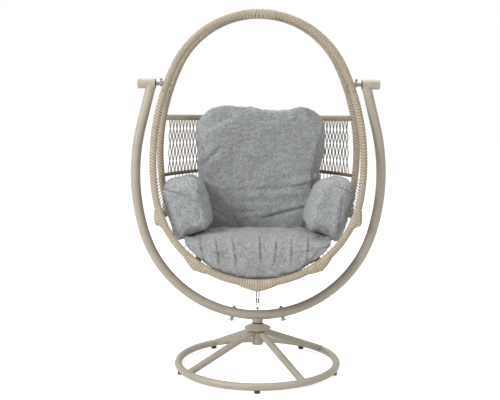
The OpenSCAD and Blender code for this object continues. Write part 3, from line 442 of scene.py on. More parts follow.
def wrap_piece(name, skin, line, bars, front, out, stands_for, material):
    """A wrap from its skin (rings, sides, 3), closed at both ends on its line, with bars and turns as its
    coordinates. Its faces are turned round where front and out make a left-handed pair with the line."""
    rings, sides = bars.shape
    points = np.concatenate([skin.reshape(-1, 3), line[:1], line[-1:]])
    faces = closed_tube(rings, sides)
    turns = np.broadcast_to(np.arange(sides) / sides, bars.shape)
    lay_u = np.append(bars.ravel(), [bars[0, 0], bars[-1, 0]])
    lay_v = np.append(turns.ravel(), [0, 0])
    uv = np.stack([lay_u[faces], lay_v[faces]], -1)
    past_seam = np.ptp(uv[..., 1], axis=1) > 0.6
    uv[past_seam, :, 1] += (uv[past_seam, :, 1] < 0.5)
    middle = rings // 2
    if np.cross(np.gradient(line, axis=0)[middle], front[middle]) @ out[middle] < 0:
        faces, uv = faces[:, ::-1], uv[:, ::-1]
    print(name, "bars:", round(float(np.ptp(bars))), "triangles:", len(faces))
    return piece(name, points, faces, "egg", stands_for, material, uv)


def wound(name, line, front, out, radius, count, depth, node_name, material, sides=HOOP_SIDES):
    """A wrap: point = line + R (cos a · front + sin a · out), R = radius(along) - depth · dip(count(a))."""
    bars = count((np.arange(sides) * 2 * np.pi / sides)[None, :])
    radius, depth = (np.broadcast_to(v, len(line))[:, None] for v in (radius, depth))
    r = radius - depth * dip(bars)
    skin = line[:, None] + r[..., None] * around(front, out, sides)
    return wrap_piece(name, skin, line, bars, front, out, [node_name], material)


def hoop_wrap(name, hoop, s_from, s_to, node_name, count, step):
    """A wrap along part of a hoop, with grooves that are shallower along the bottom; count(s, a) gives the bars
    at a distance and an angle."""
    s = np.linspace(s_from, s_to, int(round((s_to - s_from) / step)))
    line, out, forward = on_hoop(hoop, s)
    depth = ROPE_DIP * (1 - 0.4 * (1 - smooth(line[:, 2], 0.62, 0.85)))
    return wound(name, line, forward, out, ROPE_R, lambda a: count(s[:, None], a), depth, node_name, hoop_rope)


print("winding ready")

# %% [markdown]
# ## The crowns
# At the very top the bars stand square to the tube and fan out to both sides, until they lie well over. The
# formula for the count is distance / bar width + lean(distance) · sin(angle): the sine leans a bar one way in
# front and the other way behind, as a wound rope does, and it closes on itself behind the tube.

# %% Crown wraps
CROWN_BAR, FULL_LEAN, CROWN_STEP = 0.0145, 2.3, 0.0022


def crown_count(s, a):
    """Bars of a crown: s / bar width + lean · sin a, the lean growing from the top to both sides."""
    return s / CROWN_BAR + FULL_LEAN * np.tanh(s / 0.12) * np.sin(a)


for label, hoop in (("front", FRONT), ("rear", REAR)):
    splice_s = hoop_length(hoop, hoop["splice"])
    hoop_wrap(f"{label}_crown_winding", hoop, -splice_s, splice_s, f"{label}_crown_rope", crown_count,
              CROWN_STEP)

# %% [markdown]
# ## The sides and the bottom of the hoops
# Below the splices the bars go on leaning for a hand's width, then meet in a herringbone down the front of the
# tube, lean one way again beside the arm cushions, and lie almost square along the bottom.

# %% Basket wraps
VEE_Z, ARM_Z, LOW_Z = 1.42, 1.02, 0.74
BASKET_STEP = 0.0024


def basket_count(hoop):
    """Bars of a basket hoop: the sum of distance / bar width, the width falling towards the bottom, with
    + lean · sin a + vee · 2 |sin((a - turned) / 2)|, where lean and vee change with height. The herringbone's
    middle faces forwards on the right and is turned inwards on the left."""
    s_vee, s_arm, s_low = (s_at_height(hoop, z) for z in (VEE_Z, ARM_Z, LOW_Z))
    half = hoop_length(hoop)
    d = np.linspace(0, half, 2000)
    width = 0.0158 - 0.0024 * smooth(d, s_arm - 0.1, s_arm + 0.1) - 0.0026 * smooth(d, s_low - 0.1, s_low + 0.15)
    bars = np.concatenate([[0], np.cumsum((d[1:] - d[:-1]) * 2 / (width[1:] + width[:-1]))])

    def count(s, a):
        d_here = np.minimum(s, 2 * half - s)
        right = s < half
        below_vee = smooth(d_here, s_vee - 0.1, s_vee + 0.06)
        below_arm = smooth(d_here, s_arm - 0.05, s_arm + 0.06)
        vee = 0.68 * below_vee * (1 - below_arm)
        lean = FULL_LEAN * (1 - below_vee) + 0.9 * below_arm * (1 - smooth(d_here, s_low - 0.05, s_low + 0.1))
        turns = np.interp(d_here, d, bars)
        turns = np.where(right, turns, 2 * bars[-1] - turns)
        turned = np.where(right, 0.0, -0.75)
        return turns + np.where(right, 1.0, -1.0) * (
            lean * np.sin(a) + vee * 2 * np.abs(np.sin((a - turned) / 2)))

    return count


for label, hoop, node_name in (("front", FRONT, "front_rim_rope"), ("rear", REAR, "rear_frame_rope")):
    splice_s = hoop_length(hoop, hoop["splice"])
    hoop_wrap(f"{label}_rim_winding", hoop, splice_s, 2 * hoop_length(hoop) - splice_s, node_name,
              basket_count(hoop), BASKET_STEP)

# %% [markdown]
# ## Ribs and rails
# Five ribs run under the seat from the front hoop to the rear one, and two rails cross behind the back: a
# straight one at shoulder height and a bowed one at the waist. They are bound in the same rope, square to the
# tube. A rib's wrap draws in to a round end where it passes under a hoop.

# %% Ribs
ROD_STEP, ROD_BAR, RAIL_BAR, ROD_DIP = 0.0024, 0.0125, 0.0105, 0.0014
PAST_HOOP, ROUND_END, ARM_BOW = 0.017, 0.02, 0.014
MID_RIB = np.array([[0, -0.251279, 0.490174], [0, 0.276318, 0.461376]])
SEAT_RIB = np.array([[0.316, -0.227122, 0.587065], [0.316, 0.265679, 0.562591]])
ARM_RIB = np.array([[0.502042, -0.172535, 0.806], [0.498652, 0.241778, 0.790]])
LEFT = np.array([-1, 1, 1])


def rib_line(p, q, bow=0.0):
    """Points from p to q and a little beyond both, swung out sideways in the middle by bow."""
    stretch = unit(q - p)
    start, end = p - PAST_HOOP * stretch, q + PAST_HOOP * stretch
    t = np.linspace(0, 1, int(np.linalg.norm(end - start) / ROD_STEP))
    line = (1 - t)[:, None] * start + t[:, None] * end
    line[:, 0] += np.sign(p[0]) * 4 * bow * t * (1 - t)
    return line


def rod_wrap(node_name, line, radius=ROPE_R, material=hoop_rope, end_l=0.0, bar=ROD_BAR):
    """A wrap round a rod with bars square to it; end_l is the length over which each end draws in."""
    ahead = unit(np.gradient(line, axis=0))
    up = unit(np.array([0, 0, 1]) - ahead[:, 2:] * ahead)
    s = np.concatenate([[0], np.cumsum(np.linalg.norm(np.diff(line, axis=0), axis=-1))])
    if end_l:
        d = np.clip(np.minimum(s, s[-1] - s) / end_l, 0, 1)
        radius = radius * np.sqrt(np.clip(1 - (1 - d) ** 2.2, 0.0025, 1))
    return wound(f"{node_name}_winding", line, up, np.cross(ahead, up), radius,
                 lambda a: s[:, None] / bar + 0.35 * np.sin(a), ROD_DIP, node_name, material, ROD_SIDES)


for node_name, ends, bow in (("centre_rib", MID_RIB, 0), ("right_seat_rib", SEAT_RIB, 0),
                             ("left_seat_rib", SEAT_RIB * LEFT, 0), ("right_arm_rib", ARM_RIB, ARM_BOW),
                             ("left_arm_rib", ARM_RIB * LEFT, ARM_BOW)):
    rod_wrap(node_name, rib_line(*ends, bow), end_l=ROUND_END)

# %% Rails
TOP_RAIL_Y, TOP_RAIL_Z, TOP_HALF, TOP_R = 0.186598, 1.315, 0.492, 0.0149
MID_RAIL_Y, MID_RAIL_Z, MID_HALF, MID_R = 0.219706, 1.0, 0.508, 0.0099
MID_BEND, MID_BOW, MID_LEAN = 0.989344, 0.15, math.radians(10.0)
RAIL_RINGS = 410


def top_rail_at(x):
    """Points of the top rail's middle line at widths x."""
    return np.stack([x, np.full_like(x, TOP_RAIL_Y), np.full_like(x, TOP_RAIL_Z)], -1)


def mid_rail_at(x):
    """Points of the bowed mid rail: back = sqrt(bend² - x²) - bend + bow, tipped up by the lean."""
    back = np.sqrt(MID_BEND ** 2 - x ** 2) - MID_BEND + MID_BOW
    return np.stack([x, MID_RAIL_Y + back * math.cos(MID_LEAN), MID_RAIL_Z + back * math.sin(MID_LEAN)], -1)


rod_wrap("top_rail", top_rail_at(np.linspace(-TOP_HALF, TOP_HALF, RAIL_RINGS)), TOP_R, rail_rope, bar=RAIL_BAR)
# The mid rail wears the darker copy of the rail rope: painted shade.
rod_wrap("mid_rail", mid_rail_at(np.linspace(-MID_HALF, MID_HALF, RAIL_RINGS)), MID_R, shaded_rail_rope, bar=RAIL_BAR)

# %% [markdown]
# ## Lashings
# Where a rib passes under a hoop, and where the two crowns meet, the rope is wound round both together. The
# wrap there is the outline round two circles: the hoop's own and one that stands off it, which shrinks back to
# nothing on both sides of the joint. Under the ribs it stands off outwards. At the top it stands off backwards,
# on to the rear hoop, so that one wrap goes round both tubes.

# %% Lashings
LASH_R, LASH_EDGE, LASH_STEP, LASH_DIP = 0.0196, 0.0035, 0.0022, 0.0016


def lashing(name, hoop, s_mid, reach, stand_off, backward=False, stands_for=(), radius=LASH_R, bar=ROD_BAR,
            fan=0.0):
    """point = line + toward · d(s) · step(normal · toward) + R · normal, where d falls to nothing at both ends
    and the bars fan out from the middle."""
    s = np.linspace(s_mid - reach, s_mid + reach, int(2 * reach / LASH_STEP))
    line, out, forward = on_hoop(hoop, s)
    normal = around(forward, out, HOOP_SIDES)
    toward = -forward if backward else out
    from_mid = np.abs(s - s_mid)
    d = stand_off * np.clip(1 - from_mid / reach, 0, 1) ** 0.85
    share = smooth((normal * toward[:, None]).sum(-1), -0.12, 0.12)
    a = np.arange(HOOP_SIDES) * 2 * np.pi / HOOP_SIDES
    bars = s[:, None] / bar + fan * np.tanh((s[:, None] - s_mid) / 0.05) * np.sin(a[None])
    edge = np.clip((reach - from_mid) / 0.006, 0, 1)
    r = radius - LASH_EDGE + LASH_EDGE * np.sqrt(1 - (1 - edge) ** 2)
    skin = line[:, None] + (d[:, None] * share)[..., None] * toward[:, None] \
        + (r[:, None] - LASH_DIP * dip(bars))[..., None] * normal
    return wrap_piece(name, skin, line, bars, forward, out, stands_for, hoop_rope)


for label, hoop, arm_z in (("front", FRONT, 0.83), ("rear", REAR, 0.815)):
    full, s_arm = 2 * hoop_length(hoop), s_at_height(hoop, arm_z)
    lashing(f"{label}_middle_lashing", hoop, full / 2, 0.095, 0.024)
    for hand, sign in (("right", 1), ("left", -1)):
        s_seat = s_at_width(hoop, sign * SEAT_RIB[0, 0] * 0.97)
        lashing(f"{label}_{hand}_seat_lashing", hoop, s_seat, 0.07, 0.02)
    for hand, s in (("right", s_arm), ("left", full - s_arm)):
        lashing(f"{label}_{hand}_arm_lashing", hoop, s, 0.05, 0.02)
lashing("crown_lashing", FRONT, 0.0, 0.09, 0.0389, True, ["crown_binding"], 0.0206, CROWN_BAR, 1.3)

# %% [markdown]
# ## Nets
# Between the rails hang pairs of cords that cross three times and leave lens-shaped gaps. A cord's line is
# straight from rail to rail plus a sideways swing, and it passes in front of its partner at one crossing and
# behind it at the next. Below the bowed rail, under the cushion and at the sides the cords run straight.

# %% Back net
PAIRS, BACK_CORD_R, CORD_R, CORD_SIDES = 55, 0.0024, 0.0021, 6
NET_TOP_HALF, NET_LOW_HALF = 0.478, 0.492
SWING, WEAVE = 0.0078, 0.0021
SWING_T = [0, 0.06, 0.21, 0.33, 0.45, 0.61, 0.77, 0.9, 1]
SWING_SHARE = [0.75, 0.7, 0, -1, 0, 1, 0, -0.8, -0.8]


def net_piece(name, lines, radius, node_name):
    """The cords of a net on their lines (cords, rings, 3)."""
    ahead = unit(np.gradient(lines, axis=1))
    pick = np.where(np.abs(ahead[..., :1]) > 0.7, np.array([0.0, 1, 0]), np.array([1.0, 0, 0]))
    behind = unit(np.cross(ahead, pick))
    points, faces = many_tubes(lines, np.cross(behind, ahead), -behind, radius, CORD_SIDES)
    print(name, len(lines), "cords,", len(faces), "triangles")
    return piece(name, points, faces, "egg", [node_name], net_cord)


net_x = (np.arange(PAIRS) + 0.5) / PAIRS * 2 - 1
t = np.linspace(0, 1, 33)
swing_at = np.interp(t, SWING_T, SWING_SHARE)
swing_at = np.convolve(np.pad(swing_at, 1, "edge"), [0.25, 0.5, 0.25], "valid")
weave_at = np.cos(np.pi * np.cumsum(np.abs(np.diff(swing_at, prepend=SWING_SHARE[0]))))
straight = between(top_rail_at(net_x * NET_TOP_HALF), mid_rail_at(net_x * NET_LOW_HALF), t)
swung = np.stack([SWING * swing_at, WEAVE * weave_at, np.zeros_like(t)], -1)
net_piece("back_net_cords", np.concatenate([straight + swung, straight - swung]), BACK_CORD_R, "back_net")

# %% Straight nets
def straight_net(name, starts, ends, node_name, sag=0.0):
    """Cords from starts to ends, each hanging by sag in its middle."""
    t = np.linspace(0, 1, 9)
    lines = between(starts, ends, t)
    lines[..., 2] -= 4 * sag * t * (1 - t)
    return net_piece(name, lines, CORD_R, node_name)


def hoop_low_at(hoop, x):
    """Points of the hoop's bottom at widths x."""
    return on_hoop(hoop, np.array([s_at_width(hoop, v) for v in x]))[0]


def hoop_sides_at(hoop, heights):
    """Points of the hoop at heights, on the right side and then on the left."""
    s = np.array([s_at_height(hoop, z) for z in heights])
    return on_hoop(hoop, np.concatenate([s, -s]))[0]


low_x = np.linspace(-0.45, 0.45, 51)
straight_net("lower_back_cords", mid_rail_at(low_x), hoop_low_at(REAR, low_x), "lower_back_net")
seat_x = np.linspace(-0.38, 0.38, 39)
straight_net("seat_net_cords", hoop_low_at(FRONT, seat_x), hoop_low_at(REAR, seat_x), "seat_net", sag=0.006)
side_z = np.linspace(0.836, 1.0, 11)
straight_net("side_net_cords", hoop_sides_at(FRONT, side_z), hoop_sides_at(REAR, side_z), "side_nets")

# %% [markdown]
# ## Cushion cloth
# The covers are a woven grey melange: light and dark yarns in an uneven mix, seen from a distance as a soft
# mottle. The weave group lays two crossed sets of fine yarn lines for the relief, and a mottle at three sizes
# mixes the yarn colours. A seat sees more light than a back, so each cover has its own pair of colours.

# %% Weave group and cloth
def make_weave():
    """Weave: yarn height of a plain weave on two of the object's axes, and the melange of its yarns."""
    tree, start, end = new_group("plain weave", {"Vector": None, "Yarn": 0.0016}, ["Melange", "Height"])
    x, y, z = node(tree, "ShaderNodeSeparateXYZ", {0: start["Vector"]}).outputs
    warp = maths(tree, "ADD", x, maths(tree, "MULTIPLY", y, 0.83))
    turns = maths(tree, "DIVIDE", math.pi, start["Yarn"])
    a, b = (maths(tree, "SINE", maths(tree, "MULTIPLY", way, turns)) for way in (warp, z))
    feed(tree, end["Height"], maths(tree, "MULTIPLY", a, b))
    total = 0.0
    for size, share in ((0.003, 0.42), (0.006, 0.44), (0.035, 0.14)):
        total = maths(tree, "ADD", total, maths(tree, "MULTIPLY", grain(tree, start["Vector"], size), share))
    feed(tree, end["Melange"], remap(tree, total, 0.22, 0.78))
    return tree


weave = make_weave()


def cloth_finish(name, light, dark):
    """Cloth between two yarn colours, rough, with the relief of its weave and a faint fuzz."""
    made, tree, shader, coords = new_material(name)
    yarns = node(tree, "ShaderNodeGroup", {"Vector": coords["Object"]}, node_tree=weave).outputs
    colour = mix_colour(tree, yarns["Melange"], screen(*dark), screen(*light))
    height = maths(tree, "ADD", maths(tree, "MULTIPLY", yarns["Height"], 0.35), yarns["Melange"])
    dress(tree, shader, height, 0.7, 0.0012, {"Base Color": colour, "Roughness": 0.88, "Sheen Weight": 0.25})
    return made


seat_cloth = cloth_finish("seat cloth", (186, 187, 186), (100, 102, 103))
back_cloth = cloth_finish("back cloth", (188, 190, 190), (100, 103, 105))
print("cloths:", seat_cloth.name, back_cloth.name)

# %% [markdown]
# ## Padding
# A stuffed cushion is a box whose faces have swollen: flat where it rests, round at its edges, drawn in along its
# seams. It starts as six grids, one for each face of a cube, so that no point is crowded into a pole. Each point
# is carried out to a rounded box, |x|^a + |y|^b + |z|^c = 1, and then to its place in the basket.

# %% Rounded box
def rounded_box(counts, powers):
    """Points and quads of a rounded box in -1..1 with welded faces: each cube point q is divided by the k for
    which |x/k|^a + |y/k|^b + |z/k|^c = 1. counts is the number of quads along x, y and z."""
    points, quads, base = [], [], 0
    lines = [np.sin(np.linspace(-1, 1, n + 1) * np.pi / 4) / np.sin(np.pi / 4) for n in counts]
    for axis in range(3):
        u, v = [i for i in range(3) if i != axis]
        uu, vv = np.meshgrid(lines[u], lines[v], indexing="ij")
        i, j = np.meshgrid(np.arange(counts[u]), np.arange(counts[v]), indexing="ij")
        for way in (-1.0, 1.0):
            p = np.empty(uu.shape + (3,))
            p[..., axis], p[..., u], p[..., v] = way, uu, vv
            a = base + i * (counts[v] + 1) + j
            quad = np.stack([a, a + counts[v] + 1, a + counts[v] + 2, a + 1], -1).reshape(-1, 4)
            even = (axis != 1) == (way > 0)
            quads.append(quad if even else quad[:, ::-1])
            points.append(p.reshape(-1, 3))
            base += len(points[-1])
    points, quads = np.concatenate(points), np.concatenate(quads)
    _, first, same = np.unique(np.round(points, 9), axis=0, return_index=True, return_inverse=True)
    points, quads = points[first], same.ravel()[quads]
    low, high = np.full(len(points), 0.3), np.full(len(points), 2.0)
    for _ in range(40):
        k = (low + high) / 2
        over = (np.abs(points / k[:, None]) ** np.array(powers)).sum(-1) > 1
        low, high = np.where(over, k, low), np.where(over, high, k)
    return points / k[:, None], quads


def normals_of(points, quads):
    """Vertex normals from quad diagonals."""
    d1, d2 = points[quads[:, 2]] - points[quads[:, 0]], points[quads[:, 3]] - points[quads[:, 1]]
    n = np.cross(d1, d2)
    total = np.zeros_like(points)
    for k in range(4):
        np.add.at(total, quads[:, k], n)
    return unit(total)


def ripples(points, size, seed, terms=18):
    """Smooth noise of about -1..1: a sum of sines in seeded directions with waves of about the given size."""
    rng = np.random.default_rng(seed)
    waves = unit(rng.normal(size=(terms, 3))) * (2 * np.pi / size) * rng.uniform(0.6, 1.5, (terms, 1))
    phases = rng.uniform(0, 2 * np.pi, terms)
    return np.sin(points @ waves.T + phases).sum(-1) / math.sqrt(terms)


print("rounded box ready")

# %% Places of the cushions
SEAT_HALF, SEAT_FRONT_Y, SEAT_DEPTH, SEAT_TOP_Z = 0.376, -0.222, 0.350, 0.716
BACK_HALF, BACK_THICK, BACK_FOOT_Z, BACK_RISE, BACK_TOP_Z = 0.358, 0.076, 0.608, 0.776, 1.364
ARM_TOP_Z = {-1: 1.009, 1: 1.016}


def seat_place(q):
    """Seat: x = across, y = front + depth, z fills from the hoop's bottom curve to a crowned top that rises a
    little towards the back."""
    u, v, w = q.T
    x = u * SEAT_HALF
    c, r, _ = hoop_parts(FRONT)
    rim = c[2][1] - np.sqrt((r[2] - 0.019) ** 2 - x ** 2)
    low = APEX_Z + math.cos(math.radians(FRONT["lean"])) * rim - 0.001 - 0.014 * np.maximum(0, 1 - (x / 0.3) ** 2)
    back = (v + 1) / 2 * SEAT_DEPTH - 0.010
    crown = 0.014 * (1 - u ** 2) * (1 - v ** 2)
    z = (SEAT_TOP_Z + low) / 2 + w * (SEAT_TOP_Z - low) / 2 \
        + np.where(w > 0, crown + 0.06 * back * w, 0.05 * back * w)
    z = z - 0.022 * np.maximum(0, w) * smooth(-v, 0.2, 1.0)
    return np.stack([x, SEAT_FRONT_Y + back, z], -1)


def back_middle(t, u):
    """Middle of the back cushion's thickness, as y at a share t of its rise and u of its half width."""
    return 0.1979 + 0.169 * t - 0.085 * t ** 2 - 0.248 * t ** 3 - 0.040 * u ** 2 * np.sin(np.pi * t)


def back_rise(z):
    """Share of the back cushion's rise at a height."""
    return np.clip((z - BACK_FOOT_Z) / BACK_RISE, 0, 1)


def back_place(q):
    """Back: two ears at the top, drawn in at the waist and the foot; y follows the lean and bows round the
    sitter. The left side hangs a little slacker than the right."""
    u, v, w = q.T
    top = BACK_TOP_Z + 0.019 * (1 - smooth(u, -0.45, 0.36)) * smooth(u, -0.95, -0.6) \
        + 0.020 * np.exp(-((u - 0.61) / 0.16) ** 2)
    z = (BACK_FOOT_Z + top) / 2 + w * (top - BACK_FOOT_Z) / 2
    t = back_rise(z)
    waist = 1 - 0.05 * np.sin(np.pi * t) ** 2 - 0.1 * (1 - t) ** 3
    slack = 0.014 * smooth(z, 1.02, 1.2) + 0.008 * (1 - smooth(z, 1.12, 1.21)) * np.maximum(0, -u)
    return np.stack([u * BACK_HALF * waist + slack, back_middle(t, u) + v * BACK_THICK, z], -1)


def arm_place(q, sign):
    """Arm: stands on the seat's side and leans outwards as it rises; q is up, forwards, outwards. The right one
    is plumper, with a rounder top."""
    u, v, w = q.T
    t = (u + 1) / 2
    low = 0.744 - 0.014 * w - 0.072 * np.maximum(0, w) ** 2.2
    top = ARM_TOP_Z[sign] - (0.018 * w if sign < 0 else 0.004 * w + 0.026 * w ** 2)
    plump = 0.005 * (1 if sign < 0 else 1 + 0.6 * t)
    bulge = np.maximum(t, 0) ** 1.9
    x = 0.315 + 0.050 * t + 0.036 * bulge + w * (0.074 + 0.051 * t - 0.034 * bulge) + plump * (1 + w) \
        + 0.011 * (1 - t ** 2) * np.maximum(0, w)
    return np.stack([sign * x, -0.008 - v * 0.136, low + t * (top - low)], -1)


print("places ready")

# %% [markdown]
# ## Covers that behave like cloth
# A stuffed cover isn't smooth: the cloth is held along its seams and pushed out by the filling between them, so it
# gathers in small folds there. The cover is cut a little too large, held along its seam, blown up slightly as
# simulated cloth, and then not allowed to move more than a few millimetres from its formed shape.

# %% Cloth and subdivision
CLOTH_FRAMES, MOST_LIFT, MOST_SLIP, LEVELLED = 20, 0.006, 0.004, 0.4
CLOTH = dict(quality=4, mass=0.35, vertex_group_mass="seam", use_pressure=True, uniform_pressure_force=4.0,
             shrink_min=-0.045, tension_stiffness=25, compression_stiffness=25, bending_stiffness=0.35)


def taken_from(obj):
    """Points and quads of an object with its modifiers, after which the object is removed."""
    evaluated = obj.evaluated_get(bpy.context.evaluated_depsgraph_get())
    mesh = evaluated.to_mesh()
    points = np.empty(len(mesh.vertices) * 3, np.float32)
    mesh.vertices.foreach_get("co", points)
    quads = np.empty(len(mesh.loops), np.int32)
    mesh.loops.foreach_get("vertex_index", quads)
    evaluated.to_mesh_clear()
    bare = obj.data
    bpy.data.objects.remove(obj)
    bpy.data.meshes.remove(bare)
    return points.reshape(-1, 3).astype(float), quads.reshape(-1, 4)


def settle(name, points, quads, normal, held):
    """The cover as cloth: held where the seam is, cut too large, under a light pressure. Each point then moves by
    its own displacement, less a share of the median lift, and within limits along the normal and beside it."""
    obj = bare_object(name + "_cover", points, quads)
    seam = obj.vertex_groups.new(name="seam")
    seam.add(np.flatnonzero(held).tolist(), 1.0, "REPLACE")
    cloth = obj.modifiers.new("cloth", "CLOTH")
    for key, value in CLOTH.items():
        setattr(cloth.settings, key, value)
    cloth.settings.effector_weights.gravity = 0
    cloth.collision_settings.use_collision = False
    cloth.collision_settings.use_self_collision = False
    cloth.point_cache.frame_start, cloth.point_cache.frame_end = 1, CLOTH_FRAMES
    for frame_number in range(1, CLOTH_FRAMES + 1):
        bpy.context.scene.frame_set(frame_number)
    moved, _ = taken_from(obj)
    bpy.context.scene.frame_set(1)
    shift = moved - points
    lift = (shift * normal).sum(-1)
    slip = shift - lift[:, None] * normal
    slip *= np.minimum(1, MOST_SLIP / np.maximum(np.linalg.norm(slip, axis=-1), 1e-9))[:, None]
    level = LEVELLED * np.median(lift[~held])
    lift = np.clip(lift - level, -MOST_LIFT, MOST_LIFT)
    print(name, "cloth moved up to %.1f mm, lift taken off %.1f mm"
          % (np.linalg.norm(shift, axis=-1).max() * 1e3, level * 1e3))
    return points + slip + lift[:, None] * normal


# %% Folds, gathers and seams
SEAM_HELD, INSET = 0.004, 0.001


def fold(p, normal, start, end, width, depth):
    """A fold on the front of a cushion along start-end, two points (x, z): a groove with a ridge beside it,
    depth · (0.7 · ridge - groove), fading out at both ends and on the sides that turn away."""
    a, d = np.array(start), np.array(end) - np.array(start)
    rel = p[:, [0, 2]] - a
    along = rel @ d / (d @ d)
    off = (rel[:, 0] * d[1] - rel[:, 1] * d[0]) / math.sqrt(d @ d)
    fade = smooth(along, -0.12, 0.25) * (1 - smooth(along, 0.7, 1.12)) * smooth(-normal[:, 1], 0.0, 0.5)
    ridge, groove = np.exp(-((off - 1.3 * width) / width) ** 2), np.exp(-(off / (0.6 * width)) ** 2)
    return fade * depth * (0.7 * ridge - groove)


def gathers(away, along, pitch, reach, depth, seed):
    """Small folds square to a seam: depth · sin(along / pitch) with a wandering phase, fading away from it."""
    rng = np.random.default_rng(seed)
    k = rng.uniform(0.25, 0.6, 3) / pitch * 2 * np.pi
    wander = sum(np.sin(along * f + ph) for f, ph in zip(k, rng.uniform(0, 6, 3)))
    return depth * np.exp(-(away / reach) ** 2) * np.sin(2 * np.pi * along / pitch + 1.6 * wander)


def seam_line(away, width=0.0022, depth=0.0022):
    """A stitched seam: a narrow groove with a faint ridge of folded cloth on both sides."""
    ridge = np.exp(-((np.abs(away) - 2.4 * width) / width) ** 2)
    return 0.35 * depth * ridge - depth * np.exp(-(away / width) ** 2)


def stuffing(p, seed, size=0.12, depth=0.003):
    """Broad unevenness of the filling with finer dents."""
    return depth * ripples(p, size, seed) + 0.35 * depth * ripples(p, size / 3, seed + 1)


def stuffed(name, place, counts, powers, seam, details, node_name, material):
    """A cushion: the rounded box in its place, settled as cloth, subdivided, and pushed along its normals by
    details(points, normals), in metres. seam(points) is the distance from the seam."""
    box, quads = rounded_box(counts, powers)
    points = place(box)
    normal = normals_of(points, quads)
    if ((points - points.mean(0)) * normal).sum(-1).mean() < 0:
        quads, normal = quads[:, ::-1], -normal
    points = points - INSET * normal
    points = settle(name, points, quads, normal, np.abs(seam(points)) < SEAM_HELD)
    obj = bare_object(name + "_fine", points, quads)
    finer = obj.modifiers.new("finer", "SUBSURF")
    finer.levels = finer.render_levels = 1
    points, quads = taken_from(obj)
    normal = normals_of(points, quads)
    points = points + normal * details(points, normal)[:, None]
    made = piece(name, points, quads, "egg", [node_name], material)
    print(name, "quads:", len(quads))


print("folds ready")

# %% [markdown]
# ## The seat cushion
# Its cover is sewn from two panels whose seam runs round the front face. The filling pulls the cloth into upright
# gathers there: seven long ones, which run from the top down over the front, and many short ones along the seam.

# %% Seat cushion
SEAT_FOLDS = [(-0.213, -0.186, 0.0085), (-0.128, -0.102, 0.0105), (0.012, 0.020, 0.0075), (0.098, 0.084, 0.0080),
              (0.176, 0.168, 0.0065), (-0.292, -0.262, 0.0055), (0.262, 0.244, 0.0060)]
FOLD_TOP_Z, FOLD_LOW_Z, FOLD_WIDTH = 0.733, 0.600, 0.0095


def seat_seam(p):
    """Height above the seam, which sags towards the middle."""
    return p[:, 2] - (0.684 + 0.05 * (p[:, 0] / SEAT_HALF) ** 2 - 0.02 * (p[:, 1] + 0.2))


def seat_details(p, normal):
    """Relief of the seat; a fold is given by its x at the top, its x at the foot and its depth."""
    away = seat_seam(p)
    sides = 1 - smooth(np.abs(normal[:, 2]), 0.75, 0.95)
    total = stuffing(p, 3) + sides * seam_line(away)
    total += sides * gathers(away, np.arctan2(p[:, 1] - 0.05, p[:, 0]) * 0.3, 0.021, 0.024, 0.0014, 4)
    for x_top, x_low, depth in SEAT_FOLDS:
        total += fold(p, normal + [0, -0.2, 0], (x_top, FOLD_TOP_Z), (x_low, FOLD_LOW_Z), FOLD_WIDTH, depth)
    return total


stuffed("seat_pad", seat_place, (104, 46, 42), (9.0, 8.0, 9.0), seat_seam, seat_details, "seat_cushion",
        seat_cloth)

# %% [markdown]
# ## The back cushion
# A large soft panel with two ears. It slumps on its foot, so drag folds run in from its right side, and one bump
# shows on the left where it is pressed over the bowed rail.

# %% Back cushion
BACK_FOLDS = [((0.262, 0.842), (0.010, 0.772), 0.016, 0.0085), ((0.330, 0.950), (-0.080, 0.922), 0.026, 0.0050),
              ((0.330, 0.985), (0.170, 0.945), 0.014, 0.0060), ((0.320, 1.040), (0.110, 0.980), 0.022, 0.0038),
              ((-0.195, 1.165), (-0.300, 1.060), 0.020, 0.0075), ((-0.262, 0.832), (-0.165, 0.778), 0.014, 0.0055),
              ((0.200, 0.880), (-0.140, 0.868), 0.024, 0.0035), ((-0.300, 1.010), (-0.190, 0.960), 0.018, 0.0040),
              ((-0.120, 0.800), (0.060, 0.830), 0.016, 0.0034)]


def back_seam(p):
    """Distance in front of the seam, which runs round the edge a little in front of the middle."""
    return p[:, 1] - back_middle(back_rise(p[:, 2]), p[:, 0] / 0.34) - 0.012


def back_details(p, normal):
    """Relief of the back; a fold is given by its two ends (x, z), its width and its depth."""
    away = back_seam(p)
    edge = 1 - smooth(np.abs(normal[:, 1]), 0.5, 0.85)
    total = stuffing(p, 5) + edge * seam_line(away)
    total += edge * gathers(away, np.arctan2(p[:, 2] - 1.0, p[:, 0]) * 0.38, 0.024, 0.024, 0.0015, 6)
    for start, end, width, depth in BACK_FOLDS:
        total += fold(p, normal, start, end, width, depth)
    return total


stuffed("back_pad", back_place, (84, 28, 92), (5.4, 3.4, 5.2), back_seam, back_details, "back_cushion",
        back_cloth)

# %% [markdown]
# ## The arm cushions
# Two upright pillows, each with its seam round the edge of the face that the sitter sees from the front. The
# cloth creases at the upper outer corner, where the pillow is squeezed between the hoops.

# %% Arm cushions
ARM_FOLDS = {
    -1: [((-0.492, 0.972), (-0.325, 0.925), 0.009, 0.0120), ((-0.352, 1.012), (-0.262, 0.905), 0.012, 0.0075),
         ((-0.460, 0.900), (-0.400, 0.780), 0.016, 0.0050)],
    1: [((0.395, 0.990), (0.495, 0.945), 0.009, 0.0100), ((0.432, 0.940), (0.405, 0.740), 0.016, 0.0085),
        ((0.300, 0.800), (0.380, 0.735), 0.014, 0.0060), ((0.262, 0.960), (0.330, 1.005), 0.012, 0.0050)],
}


def arm_seam(p):
    """Distance in front of the seam near the pillow's front edge."""
    return p[:, 1] + 0.104 - 0.012 * np.cos((p[:, 2] - 0.86) / 0.15 * np.pi / 2)


